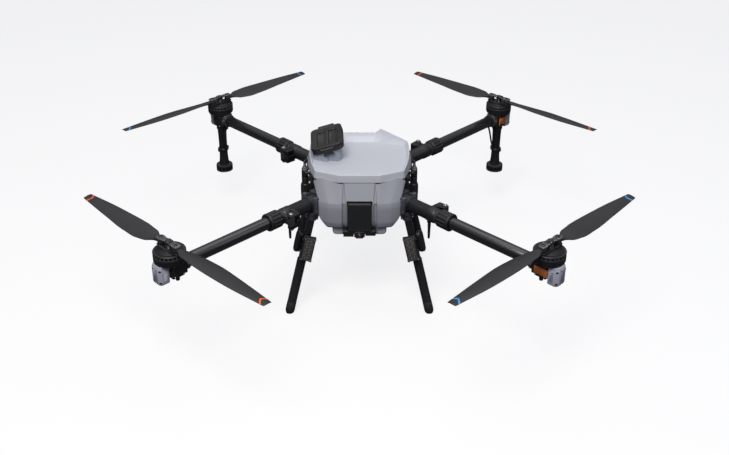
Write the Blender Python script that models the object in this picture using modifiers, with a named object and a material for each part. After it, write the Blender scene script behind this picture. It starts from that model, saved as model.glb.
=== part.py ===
"""Agricultural spray drone: a folding four-rotor airframe with a top tank.

Metres, +Z up. Origin on the ground under the middle of the airframe. The nose
faces -Y. In the tags F and R are front and rear, then L is the -X side and R the
+X side. Every arm is the same unit turned about +Z, so its pieces are built once
in an arm frame: +X outward along the arm, +Y to the left of it, Z from the ground.
"""
import math

import bmesh
import bpy
from mathutils import Matrix, Vector

# ---------------------------------------------------------------- shared dimensions
# Names ending in _S are distances outward along an arm.
GAP = 0.0003                 # clearance between pieces that touch
OVERRUN = 0.020              # how far a bore's cutter runs past the piece
SMOOTH_ANGLE = math.radians(32.0)

MOTOR_OFFSET = 0.5866        # motor axis in X and in Y
MOTOR_S = MOTOR_OFFSET * math.sqrt(2.0)
ARM_Z = 0.430                # height of the arm tubes' axes
ARM_ANGLES = {"FL": 225.0, "FR": 315.0, "RL": 135.0, "RR": 45.0}

SOCKET_R = 0.0250
TUBE_R, TUBE_START_S, TUBE_END_S = 0.0215, 0.3768, 0.8485

PLATE_X, PLATE_Y = 0.1500, 0.1600        # half sizes of the centre plates
PLATE_Z0, PLATE_Z1, PLATE_T = 0.3980, 0.4620, 0.0040
PAD_Z = 0.3900               # underside of the pads the legs meet

PUMP_X, PUMP_Y = 0.203, 0.050

# ---------------------------------------------------------------- scene
for old in list(bpy.data.objects):
    bpy.data.objects.remove(old, do_unlink=True)

parts = bpy.data.collections.new("agricultural_spray_drone")
cutters = bpy.data.collections.new("cutters")
for collection in (parts, cutters):
    bpy.context.scene.collection.children.link(collection)


def material(name, colour, roughness, metallic):
    mat = bpy.data.materials.new(name)
    mat.use_nodes = True
    bsdf = mat.node_tree.nodes["Principled BSDF"]
    bsdf.inputs["Base Color"].default_value = (*colour, 1.0)
    bsdf.inputs["Roughness"].default_value = roughness
    bsdf.inputs["Metallic"].default_value = metallic
    mat.diffuse_color = (*colour, 1.0)
    return mat


# name: base colour, roughness, metallic
FINISHES = {
    "tank": ((0.52, 0.54, 0.60), 0.42, 0.0),
    "shell": ((0.24, 0.25, 0.29), 0.45, 0.0),
    "frame": ((0.016, 0.017, 0.019), 0.45, 0.2),
    "carbon": ((0.012, 0.012, 0.014), 0.35, 0.1),
    "black_plastic": ((0.014, 0.014, 0.016), 0.50, 0.0),
    "bell": ((0.014, 0.014, 0.016), 0.38, 0.5),
    "clamp_metal": ((0.16, 0.16, 0.17), 0.30, 0.9),
    "blade": ((0.045, 0.045, 0.048), 0.45, 0.0),
    "end_cover": ((0.16, 0.17, 0.21), 0.45, 0.0),
    "radar": ((0.016, 0.017, 0.019), 0.55, 0.0),
    "lamp": ((0.05, 0.05, 0.055), 0.45, 0.0),
    "battery": ((0.03, 0.03, 0.035), 0.50, 0.0),
    "controller": ((0.10, 0.10, 0.11), 0.45, 0.0),
}
MATERIALS = {name: material(name, *finish) for name, finish in FINISHES.items()}


# ---------------------------------------------------------------- helpers
def temp(mesh):
    """A working object, hidden from renders until it is published."""
    ob = bpy.data.objects.new("temp", mesh)
    cutters.objects.link(ob)
    ob.hide_render = True
    ob.display_type = 'WIRE'
    return ob


def from_bmesh(bm):
    mesh = bpy.data.meshes.new("temp")
    bmesh.ops.recalc_face_normals(bm, faces=bm.faces)
    bm.to_mesh(mesh)
    bm.free()
    return temp(mesh)


def place(ob, matrix):
    ob.data.transform(matrix)
    return ob


def turn_z(angle):
    return Matrix.Rotation(angle, 4, 'Z')


def both(half, centre=0.0):
    """The range that reaches half to either side of centre."""
    return (centre - half, centre + half)


def block(x, y, z, bevel=0.0, axis=None, segments=1):
    """A block over three ranges; bevel takes all its edges or those along one axis."""
    low, high = (Vector(corner) for corner in zip(sorted(x), sorted(y), sorted(z)))
    bm = bmesh.new()
    bmesh.ops.create_cube(bm, size=1.0)
    bmesh.ops.scale(bm, vec=high - low, verts=bm.verts)
    bmesh.ops.translate(bm, vec=(low + high) / 2.0, verts=bm.verts)
    if bevel:
        edges = []
        for edge in bm.edges:
            along = (edge.verts[0].co - edge.verts[1].co).normalized()
            if axis is None or abs(along["XYZ".index(axis)]) > 0.9:
                edges.append(edge)
        bmesh.ops.bevel(bm, geom=edges, offset=bevel, segments=segments,
                        affect='EDGES', profile=0.5)
    return from_bmesh(bm)


def rod(radius, start, end, seg=16, end_radius=None):
    """A round bar, or a cone when it has an end radius, from start to end."""
    start, end = Vector(start), Vector(end)
    bm = bmesh.new()
    bmesh.ops.create_cone(bm, cap_ends=True, segments=seg, radius1=radius,
                          radius2=radius if end_radius is None else end_radius,
                          depth=(end - start).length)
    aim = (end - start).to_track_quat('Z', 'Y').to_matrix().to_4x4()
    bmesh.ops.transform(bm, matrix=Matrix.Translation((start + end) / 2.0) @ aim,
                        verts=bm.verts)
    return from_bmesh(bm)


def arm_rod(radius, start_s, end_s):
    """A rod on the arm tubes' axis."""
    return rod(radius, (start_s, 0, ARM_Z), (end_s, 0, ARM_Z))


def upright(radius, x, y, z, seg):
    """A vertical rod over the range z."""
    return rod(radius, (x, y, z[0]), (x, y, z[1]), seg)


def bake(ob):
    """Turns the object's modifiers into mesh."""
    graph = bpy.context.evaluated_depsgraph_get()
    graph.update()
    mesh = bpy.data.meshes.new_from_object(ob.evaluated_get(graph))
    ob.modifiers.clear()
    ob.data = mesh
    return ob


def turned(profile, seg, ring=False):
    """A turned solid from (radius, height) points, listed top to bottom; a ring's
    profile closes on itself and stays off the axis."""
    mesh = bpy.data.meshes.new("profile")
    edges = [(i, i + 1) for i in range(len(profile) - 1)]
    if ring:
        edges.append((len(profile) - 1, 0))
    mesh.from_pydata([(radius, 0.0, z) for radius, z in profile], edges, [])
    ob = temp(mesh)
    screw = ob.modifiers.new("turn", 'SCREW')
    screw.steps = screw.render_steps = seg
    screw.use_merge_vertices = True
    screw.merge_threshold = 0.0001
    return bake(ob)


def combine(base, others, operation):
    for other in others:
        boolean = base.modifiers.new(operation.lower(), 'BOOLEAN')
        boolean.operation = operation
        boolean.solver = 'EXACT'
        boolean.object = other
    return bake(base)


def remove(objects):
    for ob in objects:
        bpy.data.objects.remove(ob, do_unlink=True)


def union(base, *others):
    combine(base, others, 'UNION')
    remove(others)
    return base


def cut(base, *others):
    combine(base, others, 'DIFFERENCE')
    remove(others)
    return base


def cut_and_keep(base, cutter, name):
    """Cuts the base and leaves the named cutter in the cutters collection."""
    cutter.name = name
    return combine(base, [cutter], 'DIFFERENCE')


def loft(rings):
    """A skin through closed rings of equal point count, capped at both ends."""
    bm = bmesh.new()
    rows = [[bm.verts.new(point) for point in ring] for ring in rings]
    count = len(rows[0])
    for row, following in zip(rows, rows[1:]):
        for i in range(count):
            j = (i + 1) % count
            bm.faces.new((row[i], row[j], following[j], following[i]))
    bm.faces.new(list(reversed(rows[0])))
    bm.faces.new(rows[-1])
    bmesh.ops.triangulate(bm, faces=bm.faces)
    return from_bmesh(bm)


def empty(name, location, angle):
    ob = bpy.data.objects.new(name, None)
    ob.empty_display_size = 0.02
    ob.location = location
    ob.rotation_euler = (0.0, 0.0, angle)
    parts.objects.link(ob)
    return ob


def publish(ob, name, finish, origin=(0.0, 0.0, 0.0), parent=None):
    """Names the piece, moves its origin to a reference point and files it."""
    origin = Vector(origin)
    mesh = ob.data
    mesh.transform(Matrix.Translation(-origin))
    mesh.name = name
    mesh.materials.clear()
    mesh.materials.append(MATERIALS[finish])
    mesh.shade_smooth()
    mesh.set_sharp_from_angle(angle=SMOOTH_ANGLE)
    ob.name = name
    ob.location = origin
    ob.parent = parent
    ob.hide_render = False
    ob.display_type = 'TEXTURED'
    cutters.objects.unlink(ob)
    parts.objects.link(ob)
    return ob


def publish_copy(source, *args):
    return publish(temp(source.data.copy()), *args)


# ---------------------------------------------------------------- folding arm
SOCKET_BORE_R = 0.0220
SOCKET_START_S, SOCKET_END_S = 0.2085, 0.3762
TUBE_BORE_R = 0.0197
FLANGE_R, FLANGE_END_S = 0.0245, 0.3850
PIN_S, PIN_Y, PIN_R, PIN_HEAD_R = 0.3720, 0.0450, 0.0050, 0.0088
HINGE_HALF = 0.0340          # half height of the fixed half of the hinge
LUG_R, LUG_HALF = 0.0145, 0.0155         # LUG_HALF: half height of the swinging lug
NUT_R, NUT_START_S, NUT_END_S = 0.0315, 0.3853, 0.4420
NUT_BORE_R, NUT_CHAMFER = TUBE_R + 0.0009, 0.006


def arm_socket():
    """Inner socket tube with the fixed half of the fold hinge."""
    ob = arm_rod(SOCKET_R, SOCKET_START_S, SOCKET_END_S)
    root = block((0.322, 0.356), (0.016, PIN_Y + LUG_R), both(HINGE_HALF, ARM_Z), 0.004, 'Z')
    ears = []
    for low, high in ((LUG_HALF + GAP, HINGE_HALF), (-HINGE_HALF, -LUG_HALF - GAP)):
        z = (ARM_Z + low, ARM_Z + high)
        ears.append(block((0.350, PIN_S), both(LUG_R, PIN_Y), z))
        ears.append(upright(LUG_R, PIN_S, PIN_Y, z, 14))
    hinge_top = ARM_Z + HINGE_HALF
    pin = upright(PIN_R, PIN_S, PIN_Y, (ARM_Z - HINGE_HALF - 0.002, hinge_top + 0.001), 10)
    head = upright(PIN_HEAD_R, PIN_S, PIN_Y, (hinge_top - 0.001, hinge_top + 0.006), 12)
    union(ob, root, *ears, pin, head)
    return cut(ob, arm_rod(SOCKET_BORE_R, SOCKET_START_S - OVERRUN, SOCKET_END_S + OVERRUN))


def arm_tube():
    """Outer tube, its end flange and the swinging lug of the fold hinge."""
    lug_z = both(LUG_HALF, ARM_Z)
    ob = arm_rod(TUBE_R, TUBE_START_S, TUBE_END_S)
    flange = arm_rod(FLANGE_R, TUBE_START_S, FLANGE_END_S)
    web = block((TUBE_START_S, FLANGE_END_S), (0.010, PIN_Y), lug_z)
    lug = upright(LUG_R - 2 * GAP, PIN_S, PIN_Y, lug_z, 14)
    union(ob, flange, web, lug)
    return cut(ob, arm_rod(TUBE_BORE_R, TUBE_START_S - OVERRUN, TUBE_END_S + OVERRUN),
               upright(PIN_R + 2 * GAP, PIN_S, PIN_Y, both(LUG_HALF + OVERRUN, ARM_Z), 12))


def lock_nut():
    """Clamping nut that slides out along the tube to free the hinge."""
    ob = turned([(NUT_BORE_R, NUT_END_S), (NUT_R - NUT_CHAMFER, NUT_END_S),
                 (NUT_R, NUT_END_S - NUT_CHAMFER), (NUT_R, NUT_START_S),
                 (NUT_BORE_R, NUT_START_S)], 18, ring=True)
    along_arm = Matrix.Rotation(math.radians(90), 4, 'Y')
    return place(ob, Matrix.Translation((0, 0, ARM_Z)) @ along_arm)


# ---------------------------------------------------------------- motor and rotor
BELL_R, BELL_Z0, BELL_Z1 = 0.0520, 0.4610, 0.4950
BELL_BORE_R, BELL_ROOF_Z = BELL_R - 0.0065, BELL_Z1 - 0.0040
SHAFT_R, SHAFT_Z = 0.0060, BELL_Z0 - 0.007       # SHAFT_Z: its lower end
MOUNT_START_S = 0.786
MOUNT_HALF, MOUNT_RISE = 0.031, 0.0285   # half width and drop; rise above the axis
MOTOR_BASE_R, STATOR_R = 0.0500, 0.0440
CLAMP_X, CLAMP_Y, CLAMP_CORNER = 0.052, 0.013, 0.008     # half sizes of its plates
CLAMP_BOSS_R = 0.0110
PIVOT_PIN_R = 0.0038
BLADE_PIVOT, BLADE_TIP = 0.0380, 0.4590  # from the rotor's axis
BLADE_Z = 0.511              # height of the blade roots' middle
EYE_R, EYE_Z0, EYE_Z1 = 0.0125, 0.5020, 0.5200
REST_ANGLE = 43.4            # blade line from +X on the front right rotor
CLOCKWISE = ("FL", "RR")     # the other two turn counter-clockwise, from above
AT_MOTOR = Matrix.Translation((MOTOR_S, 0, 0))


def motor_mount():
    """Clamp block round the tube's end, with the motor's base and stator."""
    ob = block((MOUNT_START_S, TUBE_END_S + 0.0012), both(MOUNT_HALF),
               (ARM_Z - MOUNT_HALF, ARM_Z + MOUNT_RISE), 0.006, 'X')
    base = upright(MOTOR_BASE_R, MOTOR_S, 0, (ARM_Z + 0.0272, BELL_Z0 - GAP - 0.0002), 20)
    stator = upright(STATOR_R, MOTOR_S, 0, (BELL_Z0 - 0.001, BELL_Z1 - 0.0055), 18)
    union(ob, base, stator)
    return cut(ob, arm_rod(TUBE_R + 2 * GAP, MOUNT_START_S - OVERRUN, TUBE_END_S + GAP),
               upright(SHAFT_R + 2 * GAP, MOTOR_S, 0,
                       (BELL_Z0 - 0.0085, BELL_Z1 + OVERRUN), 12))


def esc_cover():
    """Cover over the speed controller at the outer end of the arm."""
    return block((TUBE_END_S + 0.0016, 0.8860), (-0.030, 0.020), (0.388, 0.4565), 0.006, 'Z')


def motor_bell():
    """Outrunner can: top plate, side wall and shaft."""
    profile = [(0.0, BELL_Z1), (BELL_R - 0.004, BELL_Z1), (BELL_R - 0.0008, BELL_Z1 - 0.003),
               (BELL_R, BELL_Z1 - 0.010), (BELL_R, BELL_Z0 + 0.004), (BELL_R - 0.003, BELL_Z0),
               (BELL_BORE_R, BELL_Z0), (BELL_BORE_R, BELL_ROOF_Z),
               (SHAFT_R, BELL_ROOF_Z), (SHAFT_R, SHAFT_Z), (0.0, SHAFT_Z)]
    return place(turned(profile, 20), AT_MOTOR)


def prop_clamp(angle):
    """Two plates, a centre boss and the pivot pins that hold the blades."""
    lower, upper = (block(both(CLAMP_X), both(CLAMP_Y), z, CLAMP_CORNER, 'Z')
                    for z in ((EYE_Z0 - 0.0043, EYE_Z0 - GAP), (EYE_Z1 + GAP, EYE_Z1 + 0.0045)))
    boss = upright(CLAMP_BOSS_R, 0, 0, (BELL_Z1 + GAP, EYE_Z1 + 0.003), 12)
    pins = [upright(PIVOT_PIN_R, x, 0, (EYE_Z0 - 0.002, EYE_Z1 + 0.0075), 10)
            for x in both(BLADE_PIVOT)]
    return place(union(lower, upper, boss, *pins), AT_MOTOR @ turn_z(angle))


# radius from the rotor's axis, leading edge, trailing edge, pitch in degrees, thickness
BLADE_STATIONS = (
    (0.0440, 0.0085, 0.0085, 0.0, 0.0150),
    (0.0600, 0.0115, 0.0115, 3.0, 0.0130),
    (0.0730, 0.0190, 0.0200, 9.0, 0.0100),
    (0.0870, 0.0245, 0.0285, 13.0, 0.0080),
    (0.1150, 0.0270, 0.0345, 14.0, 0.0070),
    (0.1430, 0.0300, 0.0390, 13.0, 0.0062),
    (0.1950, 0.0310, 0.0390, 9.5, 0.0055),
    (0.3000, 0.0290, 0.0305, 6.0, 0.0043),
    (BLADE_TIP, 0.0175, 0.0140, 5.0, 0.0028),
)
# share of the way to the leading (+) or trailing (-) edge, height in half thicknesses
BLADE_SECTION = ((1.0, 0.0), (0.65, 1.05), (-0.25, 0.90),
                 (-1.0, 0.0), (-0.25, -0.60), (0.65, -0.75))


def blade(hand):
    """One folding blade along +X with its pivot eye; hand +1 leads to +Y."""
    rings = []
    for radius, lead, trail, pitch, thick in BLADE_STATIONS:
        slope = math.tan(math.radians(pitch))
        ring = []
        for share, rise in BLADE_SECTION:
            y = share * (lead if share > 0 else trail)
            ring.append((radius, y * hand, BLADE_Z + y * slope + rise * thick / 2.0))
        rings.append(ring)
    ob = loft(rings)
    union(ob, upright(EYE_R, BLADE_PIVOT, 0, (EYE_Z0, EYE_Z1), 12))
    return cut(ob, upright(PIVOT_PIN_R + 2 * GAP, BLADE_PIVOT, 0,
                           (EYE_Z0 - OVERRUN, EYE_Z1 + OVERRUN), 10))


# ---------------------------------------------------------------- spray nozzle
NOZZLE_TOP, NOZZLE_BOTTOM, DISC_BOTTOM = 0.3985, 0.2131, 0.1845
DISC_TOP, DISC_R = NOZZLE_BOTTOM - GAP, 0.0350


def nozzle_body():
    """Stem that hangs under a rear motor."""
    profile = [(0.0, NOZZLE_TOP), (0.0195, NOZZLE_TOP), (0.0195, 0.378), (0.0175, 0.350),
               (0.0185, 0.290), (0.0200, 0.245), (0.0225, 0.225),
               (0.0225, NOZZLE_BOTTOM), (0.0, NOZZLE_BOTTOM)]
    return place(turned(profile, 14), AT_MOTOR)


def spray_disc():
    profile = [(0.0, DISC_TOP), (0.018, DISC_TOP), (0.0335, 0.2070), (DISC_R, 0.2030),
               (DISC_R, 0.1965), (0.0260, DISC_BOTTOM), (0.0, DISC_BOTTOM)]
    return place(turned(profile, 18), AT_MOTOR)


def build_arms():
    motor_axis = (MOTOR_S, 0, ARM_Z)
    # name, source, finish, origin in the arm frame
    every_arm = [
        ("arm_socket", arm_socket(), "frame", (0, 0, 0)),
        ("arm_tube", arm_tube(), "carbon", (PIN_S, PIN_Y, ARM_Z)),
        ("lock_nut", lock_nut(), "black_plastic", (NUT_START_S, 0, ARM_Z)),
        ("motor_mount", motor_mount(), "black_plastic", motor_axis),
        ("esc_cover", esc_cover(), "end_cover", motor_axis),
        ("motor_bell", motor_bell(), "bell", (MOTOR_S, 0, BELL_Z0)),
    ]
    rear_arms = [
        ("nozzle_body", nozzle_body(), "black_plastic", (MOTOR_S, 0, NOZZLE_TOP)),
        ("spray_disc", spray_disc(), "black_plastic", (MOTOR_S, 0, NOZZLE_BOTTOM)),
    ]
    # blade line in the arm's own frame, mirrored for the clockwise rotors
    rest = math.radians(REST_ANGLE - ARM_ANGLES["FR"])
    clamps = {hand: prop_clamp(hand * rest) for hand in (1, -1)}
    blades = {hand: blade(hand) for hand in (1, -1)}

    for tag, degrees in ARM_ANGLES.items():
        hand = -1 if tag in CLOCKWISE else 1
        angle = math.radians(degrees)
        frame = empty("arm_frame_" + tag, (0, 0, 0), angle)
        pieces = every_arm + [("prop_clamp", clamps[hand], "clamp_metal",
                               (MOTOR_S, 0, BELL_Z1))]
        if tag in ("RL", "RR"):
            pieces += rear_arms
        for name, source, finish, origin in pieces:
            publish_copy(source, f"{name}_{tag}", finish, origin, frame)

        blade_line = REST_ANGLE if hand > 0 else 180.0 - REST_ANGLE
        hub = turn_z(angle) @ Vector((MOTOR_S, 0, 0))
        rotor = empty("rotor_axis_" + tag, hub, math.radians(blade_line))
        for letter, side, turn in (("a", 1, 0.0), ("b", -1, math.pi)):
            piece = publish_copy(blades[hand], f"blade_{letter}_{tag}", "blade",
                                 (BLADE_PIVOT, 0, 0), rotor)
            piece.location.x = side * BLADE_PIVOT
            piece.rotation_euler.z = turn

    remove([source for _, source, _, _ in every_arm + rear_arms])
    remove([*clamps.values(), *blades.values()])


# ---------------------------------------------------------------- centre frame
SIDE_WALL_Y = 0.10           # half length of the side walls
JOIN = 0.002                 # overlap between joined plates
BRACKET_X, BRACKET_HALF = 0.1900, 0.015  # pump bracket: outer end, half width
BORE_START_S, BORE_END_S = 0.150, 0.260


def build_centre_frame():
    """Two plates joined by side walls, arm blocks, leg pads and pump brackets."""
    plate = both(PLATE_X), both(PLATE_Y)
    ob = block(*plate, (PLATE_Z0, PLATE_Z0 + PLATE_T))
    added = [block(*plate, (PLATE_Z1 - PLATE_T, PLATE_Z1))]
    for side in (-1, 1):
        added.append(block((side * (PLATE_X - PLATE_T), side * PLATE_X), both(SIDE_WALL_Y),
                           (PLATE_Z0 + JOIN, PLATE_Z1 - JOIN)))
        added.append(block((side * (PLATE_X - JOIN), side * BRACKET_X),
                           both(BRACKET_HALF, PUMP_Y), (0.408, 0.424)))
    bores = []
    for degrees in ARM_ANGLES.values():
        turn = turn_z(math.radians(degrees))
        arm_block = block((0.170, 0.222), both(0.028), (PLATE_Z0 + 0.0002, PLATE_Z1 - 0.0002))
        pad = block((0.175, 0.254), both(0.021), (PAD_Z, PLATE_Z0 + JOIN))
        added += [place(arm_block, turn), place(pad, turn)]
        bores.append(rod(SOCKET_R + 2 * GAP, turn @ Vector((BORE_START_S, 0, ARM_Z)),
                         turn @ Vector((BORE_END_S, 0, ARM_Z))))
    union(ob, *added)
    cut(ob, *bores)
    publish(ob, "centre_frame", "frame")


# ---------------------------------------------------------------- tank
# Half plans: nose x, y, front corner x, y, side x, rear side x, y, tail x, y.
# Flat rings end with their height.
SHELL_RINGS = (
    (0.070, -0.150, 0.135, -0.125, 0.150, 0.150, 0.090, 0.075, 0.150, PLATE_Z1 + 0.002),
    (0.072, -0.160, 0.146, -0.131, 0.166, 0.166, 0.100, 0.080, 0.168, 0.4866),
    (0.072, -0.163, 0.150, -0.132, 0.1915, 0.188, 0.102, 0.081, 0.175, 0.4930),
    (0.073, -0.165, 0.152, -0.134, 0.189, 0.186, 0.102, 0.081, 0.1775, 0.5128),
    (0.073, -0.1785, 0.1585, -0.143, 0.1888, 0.1855, 0.102, 0.081, 0.1780, 0.5140),
)
CAVITY_RINGS = (
    (0.066, -0.146, 0.130, -0.121, 0.145, 0.145, 0.087, 0.071, 0.146, PLATE_Z1 + 0.0060),
    (0.068, -0.157, 0.142, -0.127, 0.161, 0.161, 0.097, 0.076, 0.163, 0.4895),
    (0.069, -0.159, 0.146, -0.128, 0.1865, 0.183, 0.098, 0.077, 0.170, 0.4955),
)
RIM_OUTER = (0.073, -0.1770, 0.157, -0.141, 0.183, 0.180, 0.100, 0.081, 0.1770)
RIM_INNER = (0.070, -0.170, 0.150, -0.136, 0.176, 0.173, 0.097, 0.078, 0.170)
DECK_EDGE = (0.069, -0.169, 0.148, -0.134, 0.173, 0.170, 0.095, 0.077, 0.167)
CAVITY_TOP = (0.069, -0.160, 0.146, -0.129, 0.178, 0.176, 0.095, 0.076, 0.166)
RIM_Z = (0.542, 0.542, 0.542, 0.543, 0.545, 0.559, 0.545)    # nose to tail
RIM_INNER_DROP = 0.0002
DECK_WALL = 0.0045           # tank wall under the sunken top deck
SIDE_Y = 0.018               # where the side point of each plan lies

NECK_X, NECK_Y, NECK_CORNER = (-0.168, -0.0625), (-0.047, 0.070), 0.022
NECK_WALL = 0.006

# Cap frame: origin on the lid's top, tilted; x across, y to the hinge, w up.
CAP_FRAME = (Matrix.Translation((-0.121, 0.008, 0.6085))
             @ Matrix.Rotation(-math.radians(17.0), 4, 'Y')
             @ Matrix.Rotation(math.radians(11.0), 4, 'X'))
CAP_BOTTOM_W = -0.0270
CAP_HINGE_Y, CAP_HINGE_W, CAP_HINGE_R = 0.0655, -0.0215, 0.006
LATCH_Y, LATCH_W = -0.0725, -0.0080
LATCH_HALF_T = 0.003


def half_plan(nose_x, nose_y, corner_x, corner_y, side_x, rear_x, rear_y, tail_x, tail_y):
    """Seven points from the nose to the tail on the +X side."""
    flank = (corner_x * 0.42 + side_x * 0.58 + 0.003, corner_y * 0.5 + 0.009)
    return [(nose_x, nose_y), (corner_x, corner_y), flank, (side_x, SIDE_Y),
            (rear_x, rear_y), (tail_x, tail_y), (tail_x * 0.77, tail_y)]


def mirrored_ring(half, heights):
    right = [(x, y, z) for (x, y), z in zip(half, heights)]
    return right + [(-x, y, z) for x, y, z in reversed(right)]


def flat_ring(row):
    half = half_plan(*row[:-1])
    return mirrored_ring(half, [row[-1]] * len(half))


def deck_ring(plan, drop=0.0):
    """A ring on the sunken top deck, which falls towards the tail."""
    half = half_plan(*plan)
    return mirrored_ring(half, [0.5405 - (y + 0.17) / 0.34 * 0.0265 - drop for _, y in half])


def in_cap(ob):
    return place(ob, CAP_FRAME)


def cap_hinge_rod(start_x, end_x):
    return in_cap(rod(CAP_HINGE_R, (start_x, CAP_HINGE_Y, CAP_HINGE_W),
                      (end_x, CAP_HINGE_Y, CAP_HINGE_W), 12))


def build_tank():
    """Hollow tank with a sunken top, a filler neck and the cap's hinge ears."""
    rings = [flat_ring(row) for row in SHELL_RINGS]
    rings.append(mirrored_ring(half_plan(*RIM_OUTER), RIM_Z))
    rings.append(mirrored_ring(half_plan(*RIM_INNER), [z - RIM_INNER_DROP for z in RIM_Z]))
    rings.append(deck_ring(DECK_EDGE))
    ob = loft(rings)
    cavity = [flat_ring(row) for row in CAVITY_RINGS] + [deck_ring(CAVITY_TOP, DECK_WALL)]
    cut_and_keep(ob, loft(cavity), "tank_cavity_cutter")

    neck = block(NECK_X, NECK_Y, (0.508, 0.640), NECK_CORNER, 'Z', 3)
    cut(neck, in_cap(block(both(0.12), both(0.12), (CAP_BOTTOM_W - GAP, 0.12))))
    ears = []
    for low, high in ((-0.045, -0.0315), (0.0315, 0.045)):
        ears.append(in_cap(block((low, high), (0.050, CAP_HINGE_Y + 0.0064),
                                 (-0.045, -0.0278))))
        ears.append(in_cap(block((low + 0.0008, high - 0.0008),
                                 (CAP_HINGE_Y - 0.0056, CAP_HINGE_Y + 0.0050),
                                 (-0.0310, CAP_HINGE_W + 0.0007))))
        ears.append(cap_hinge_rod(low + GAP, high - GAP))
    union(ob, neck, *ears)
    hole_x, hole_y = ((low + NECK_WALL, high - NECK_WALL) for low, high in (NECK_X, NECK_Y))
    cut(ob, block(hole_x, hole_y, (0.490, 0.650), NECK_CORNER - NECK_WALL, 'Z', 3))
    publish(ob, "tank", "tank")


def build_tank_cap():
    """Hollow lid with its hinge barrel and strap, and two lugs for the latch."""
    ob = in_cap(block(both(0.058), (-0.066, 0.059), (CAP_BOTTOM_W, 0.0), 0.022, 'Z', 3))
    barrel = cap_hinge_rod(-0.031, 0.031)
    strap = in_cap(block(both(0.0295), (0.054, CAP_HINGE_Y),
                         (CAP_HINGE_W - 0.0035, CAP_HINGE_W + 0.0052)))
    lugs = [in_cap(block((side * 0.0270, side * 0.0215), (LATCH_Y - LATCH_HALF_T, -0.060),
                         both(0.0045, LATCH_W)))
            for side in (-1, 1)]
    union(ob, barrel, strap, *lugs)
    cut(ob, in_cap(block(both(0.051), (-0.059, 0.050), (-0.040, -0.0050), 0.018, 'Z', 2)))
    publish(ob, "tank_cap", "black_plastic",
            CAP_FRAME @ Vector((0, CAP_HINGE_Y, CAP_HINGE_W)))


def build_cap_latch():
    ob = in_cap(block(both(0.0212), both(LATCH_HALF_T, LATCH_Y), (-0.034, -0.0040), 0.002, 'X'))
    publish(ob, "cap_latch", "black_plastic", CAP_FRAME @ Vector((0, LATCH_Y, LATCH_W)))


# ---------------------------------------------------------------- covers
COVER_WALL = 0.003
# z, half width, y at the centre, y at the edge, y of the returned rim
NOSE_ROWS = (
    (0.5122, 0.157, -0.182, -0.153, -0.144),
    (0.4450, 0.143, -0.211, -0.190, -0.182),
    (0.4330, 0.142, -0.213, -0.191, -0.182),
    (0.3820, 0.138, -0.211, -0.188, -0.180),
    (0.3560, 0.118, -0.207, -0.187, -0.181),
    (0.3470, 0.106, -0.200, -0.184, -0.180),
)
# z, half width, y at the centre, y at the edge
TAIL_ROWS = (
    (0.5080, 0.126, 0.1860, 0.1620),
    (0.4450, 0.128, 0.1920, 0.1810),
    (0.4320, 0.128, 0.1930, 0.1820),
    (0.4030, 0.120, 0.1880, 0.1790),
)


def panel(rows, sign):
    """An open skin from rows of (x, y, z) for x >= 0, mirrored, then thickened
    away from its outer face; sign +1 faces it to -Y and -1 to +Y."""
    bm = bmesh.new()
    grid = []
    for row in rows:
        full = [(-x, y, z) for x, y, z in reversed(row)]
        full += [point for point in row if point[0] > 1e-9]
        grid.append([bm.verts.new(point) for point in full])
    for row, following in zip(grid, grid[1:]):
        for i in range(len(row) - 1):
            quad = (row[i], following[i], following[i + 1], row[i + 1])
            bm.faces.new(quad if sign > 0 else tuple(reversed(quad)))
    mesh = bpy.data.meshes.new("panel")
    bm.to_mesh(mesh)
    bm.free()
    ob = temp(mesh)
    skin = ob.modifiers.new("wall", 'SOLIDIFY')
    skin.thickness = COVER_WALL
    skin.offset = -1.0
    skin.use_rim = True
    return bake(ob)


def nose_row(z, width, centre, edge, back):
    return [(0.0, centre, z), (0.050, centre, z), (0.060, centre + 0.002, z),
            (width * 0.66, centre * 0.75 + edge * 0.25, z),
            (width * 0.93, centre * 0.30 + edge * 0.70, z), (width, edge + 0.004, z),
            (width - 0.001, back, z)]


def tail_row(z, width, centre, edge):
    return [(0.0, centre, z), (0.082, centre, z),
            (width * 0.85, centre * 0.6 + edge * 0.4, z), (width, edge, z)]


def build_covers():
    nose = panel([nose_row(*row) for row in NOSE_ROWS], 1)
    opening = block(both(0.0465), (-0.235, -0.190), (0.330, 0.4470), 0.006, 'Y', 2)
    cut_and_keep(nose, opening, "radar_opening_cutter")
    publish(nose, "front_cover", "shell")
    publish(panel([tail_row(*row) for row in TAIL_ROWS], -1), "rear_cover", "shell")


# ---------------------------------------------------------------- radar and camera
CAMERA_AXIS = Vector((0.0, -0.203, 0.327))
CAMERA_R, CAMERA_HALF = 0.0155, 0.0190
LENS_R, LENS_REACH = 0.0095, 0.0215


def build_radar_panel():
    ob = block(both(0.0435), (-0.2205, -0.2060), (0.3435, 0.4435), 0.004, 'Y', 2)
    publish(ob, "radar_panel", "radar", (0, -0.213, 0.3935))


def build_camera():
    """Bar under the nose, slotted for a camera barrel with its lens to -Y."""
    bar = block(both(0.060), (-0.2150, -0.1760), (0.3165, 0.3430), 0.003, 'X')
    cut(bar, block(both(0.0197), (-0.240, -0.1850), (0.300, 0.360)))
    publish(bar, "camera_bar", "black_plastic")
    across = Vector((CAMERA_HALF, 0, 0))
    camera = rod(CAMERA_R, CAMERA_AXIS - across, CAMERA_AXIS + across)
    union(camera, rod(LENS_R, CAMERA_AXIS, CAMERA_AXIS + Vector((0, -LENS_REACH, 0)), 12))
    publish(camera, "fpv_camera", "black_plastic", CAMERA_AXIS)


# ---------------------------------------------------------------- belly and pumps
BATTERY_BACK_Y = 0.1680
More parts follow.
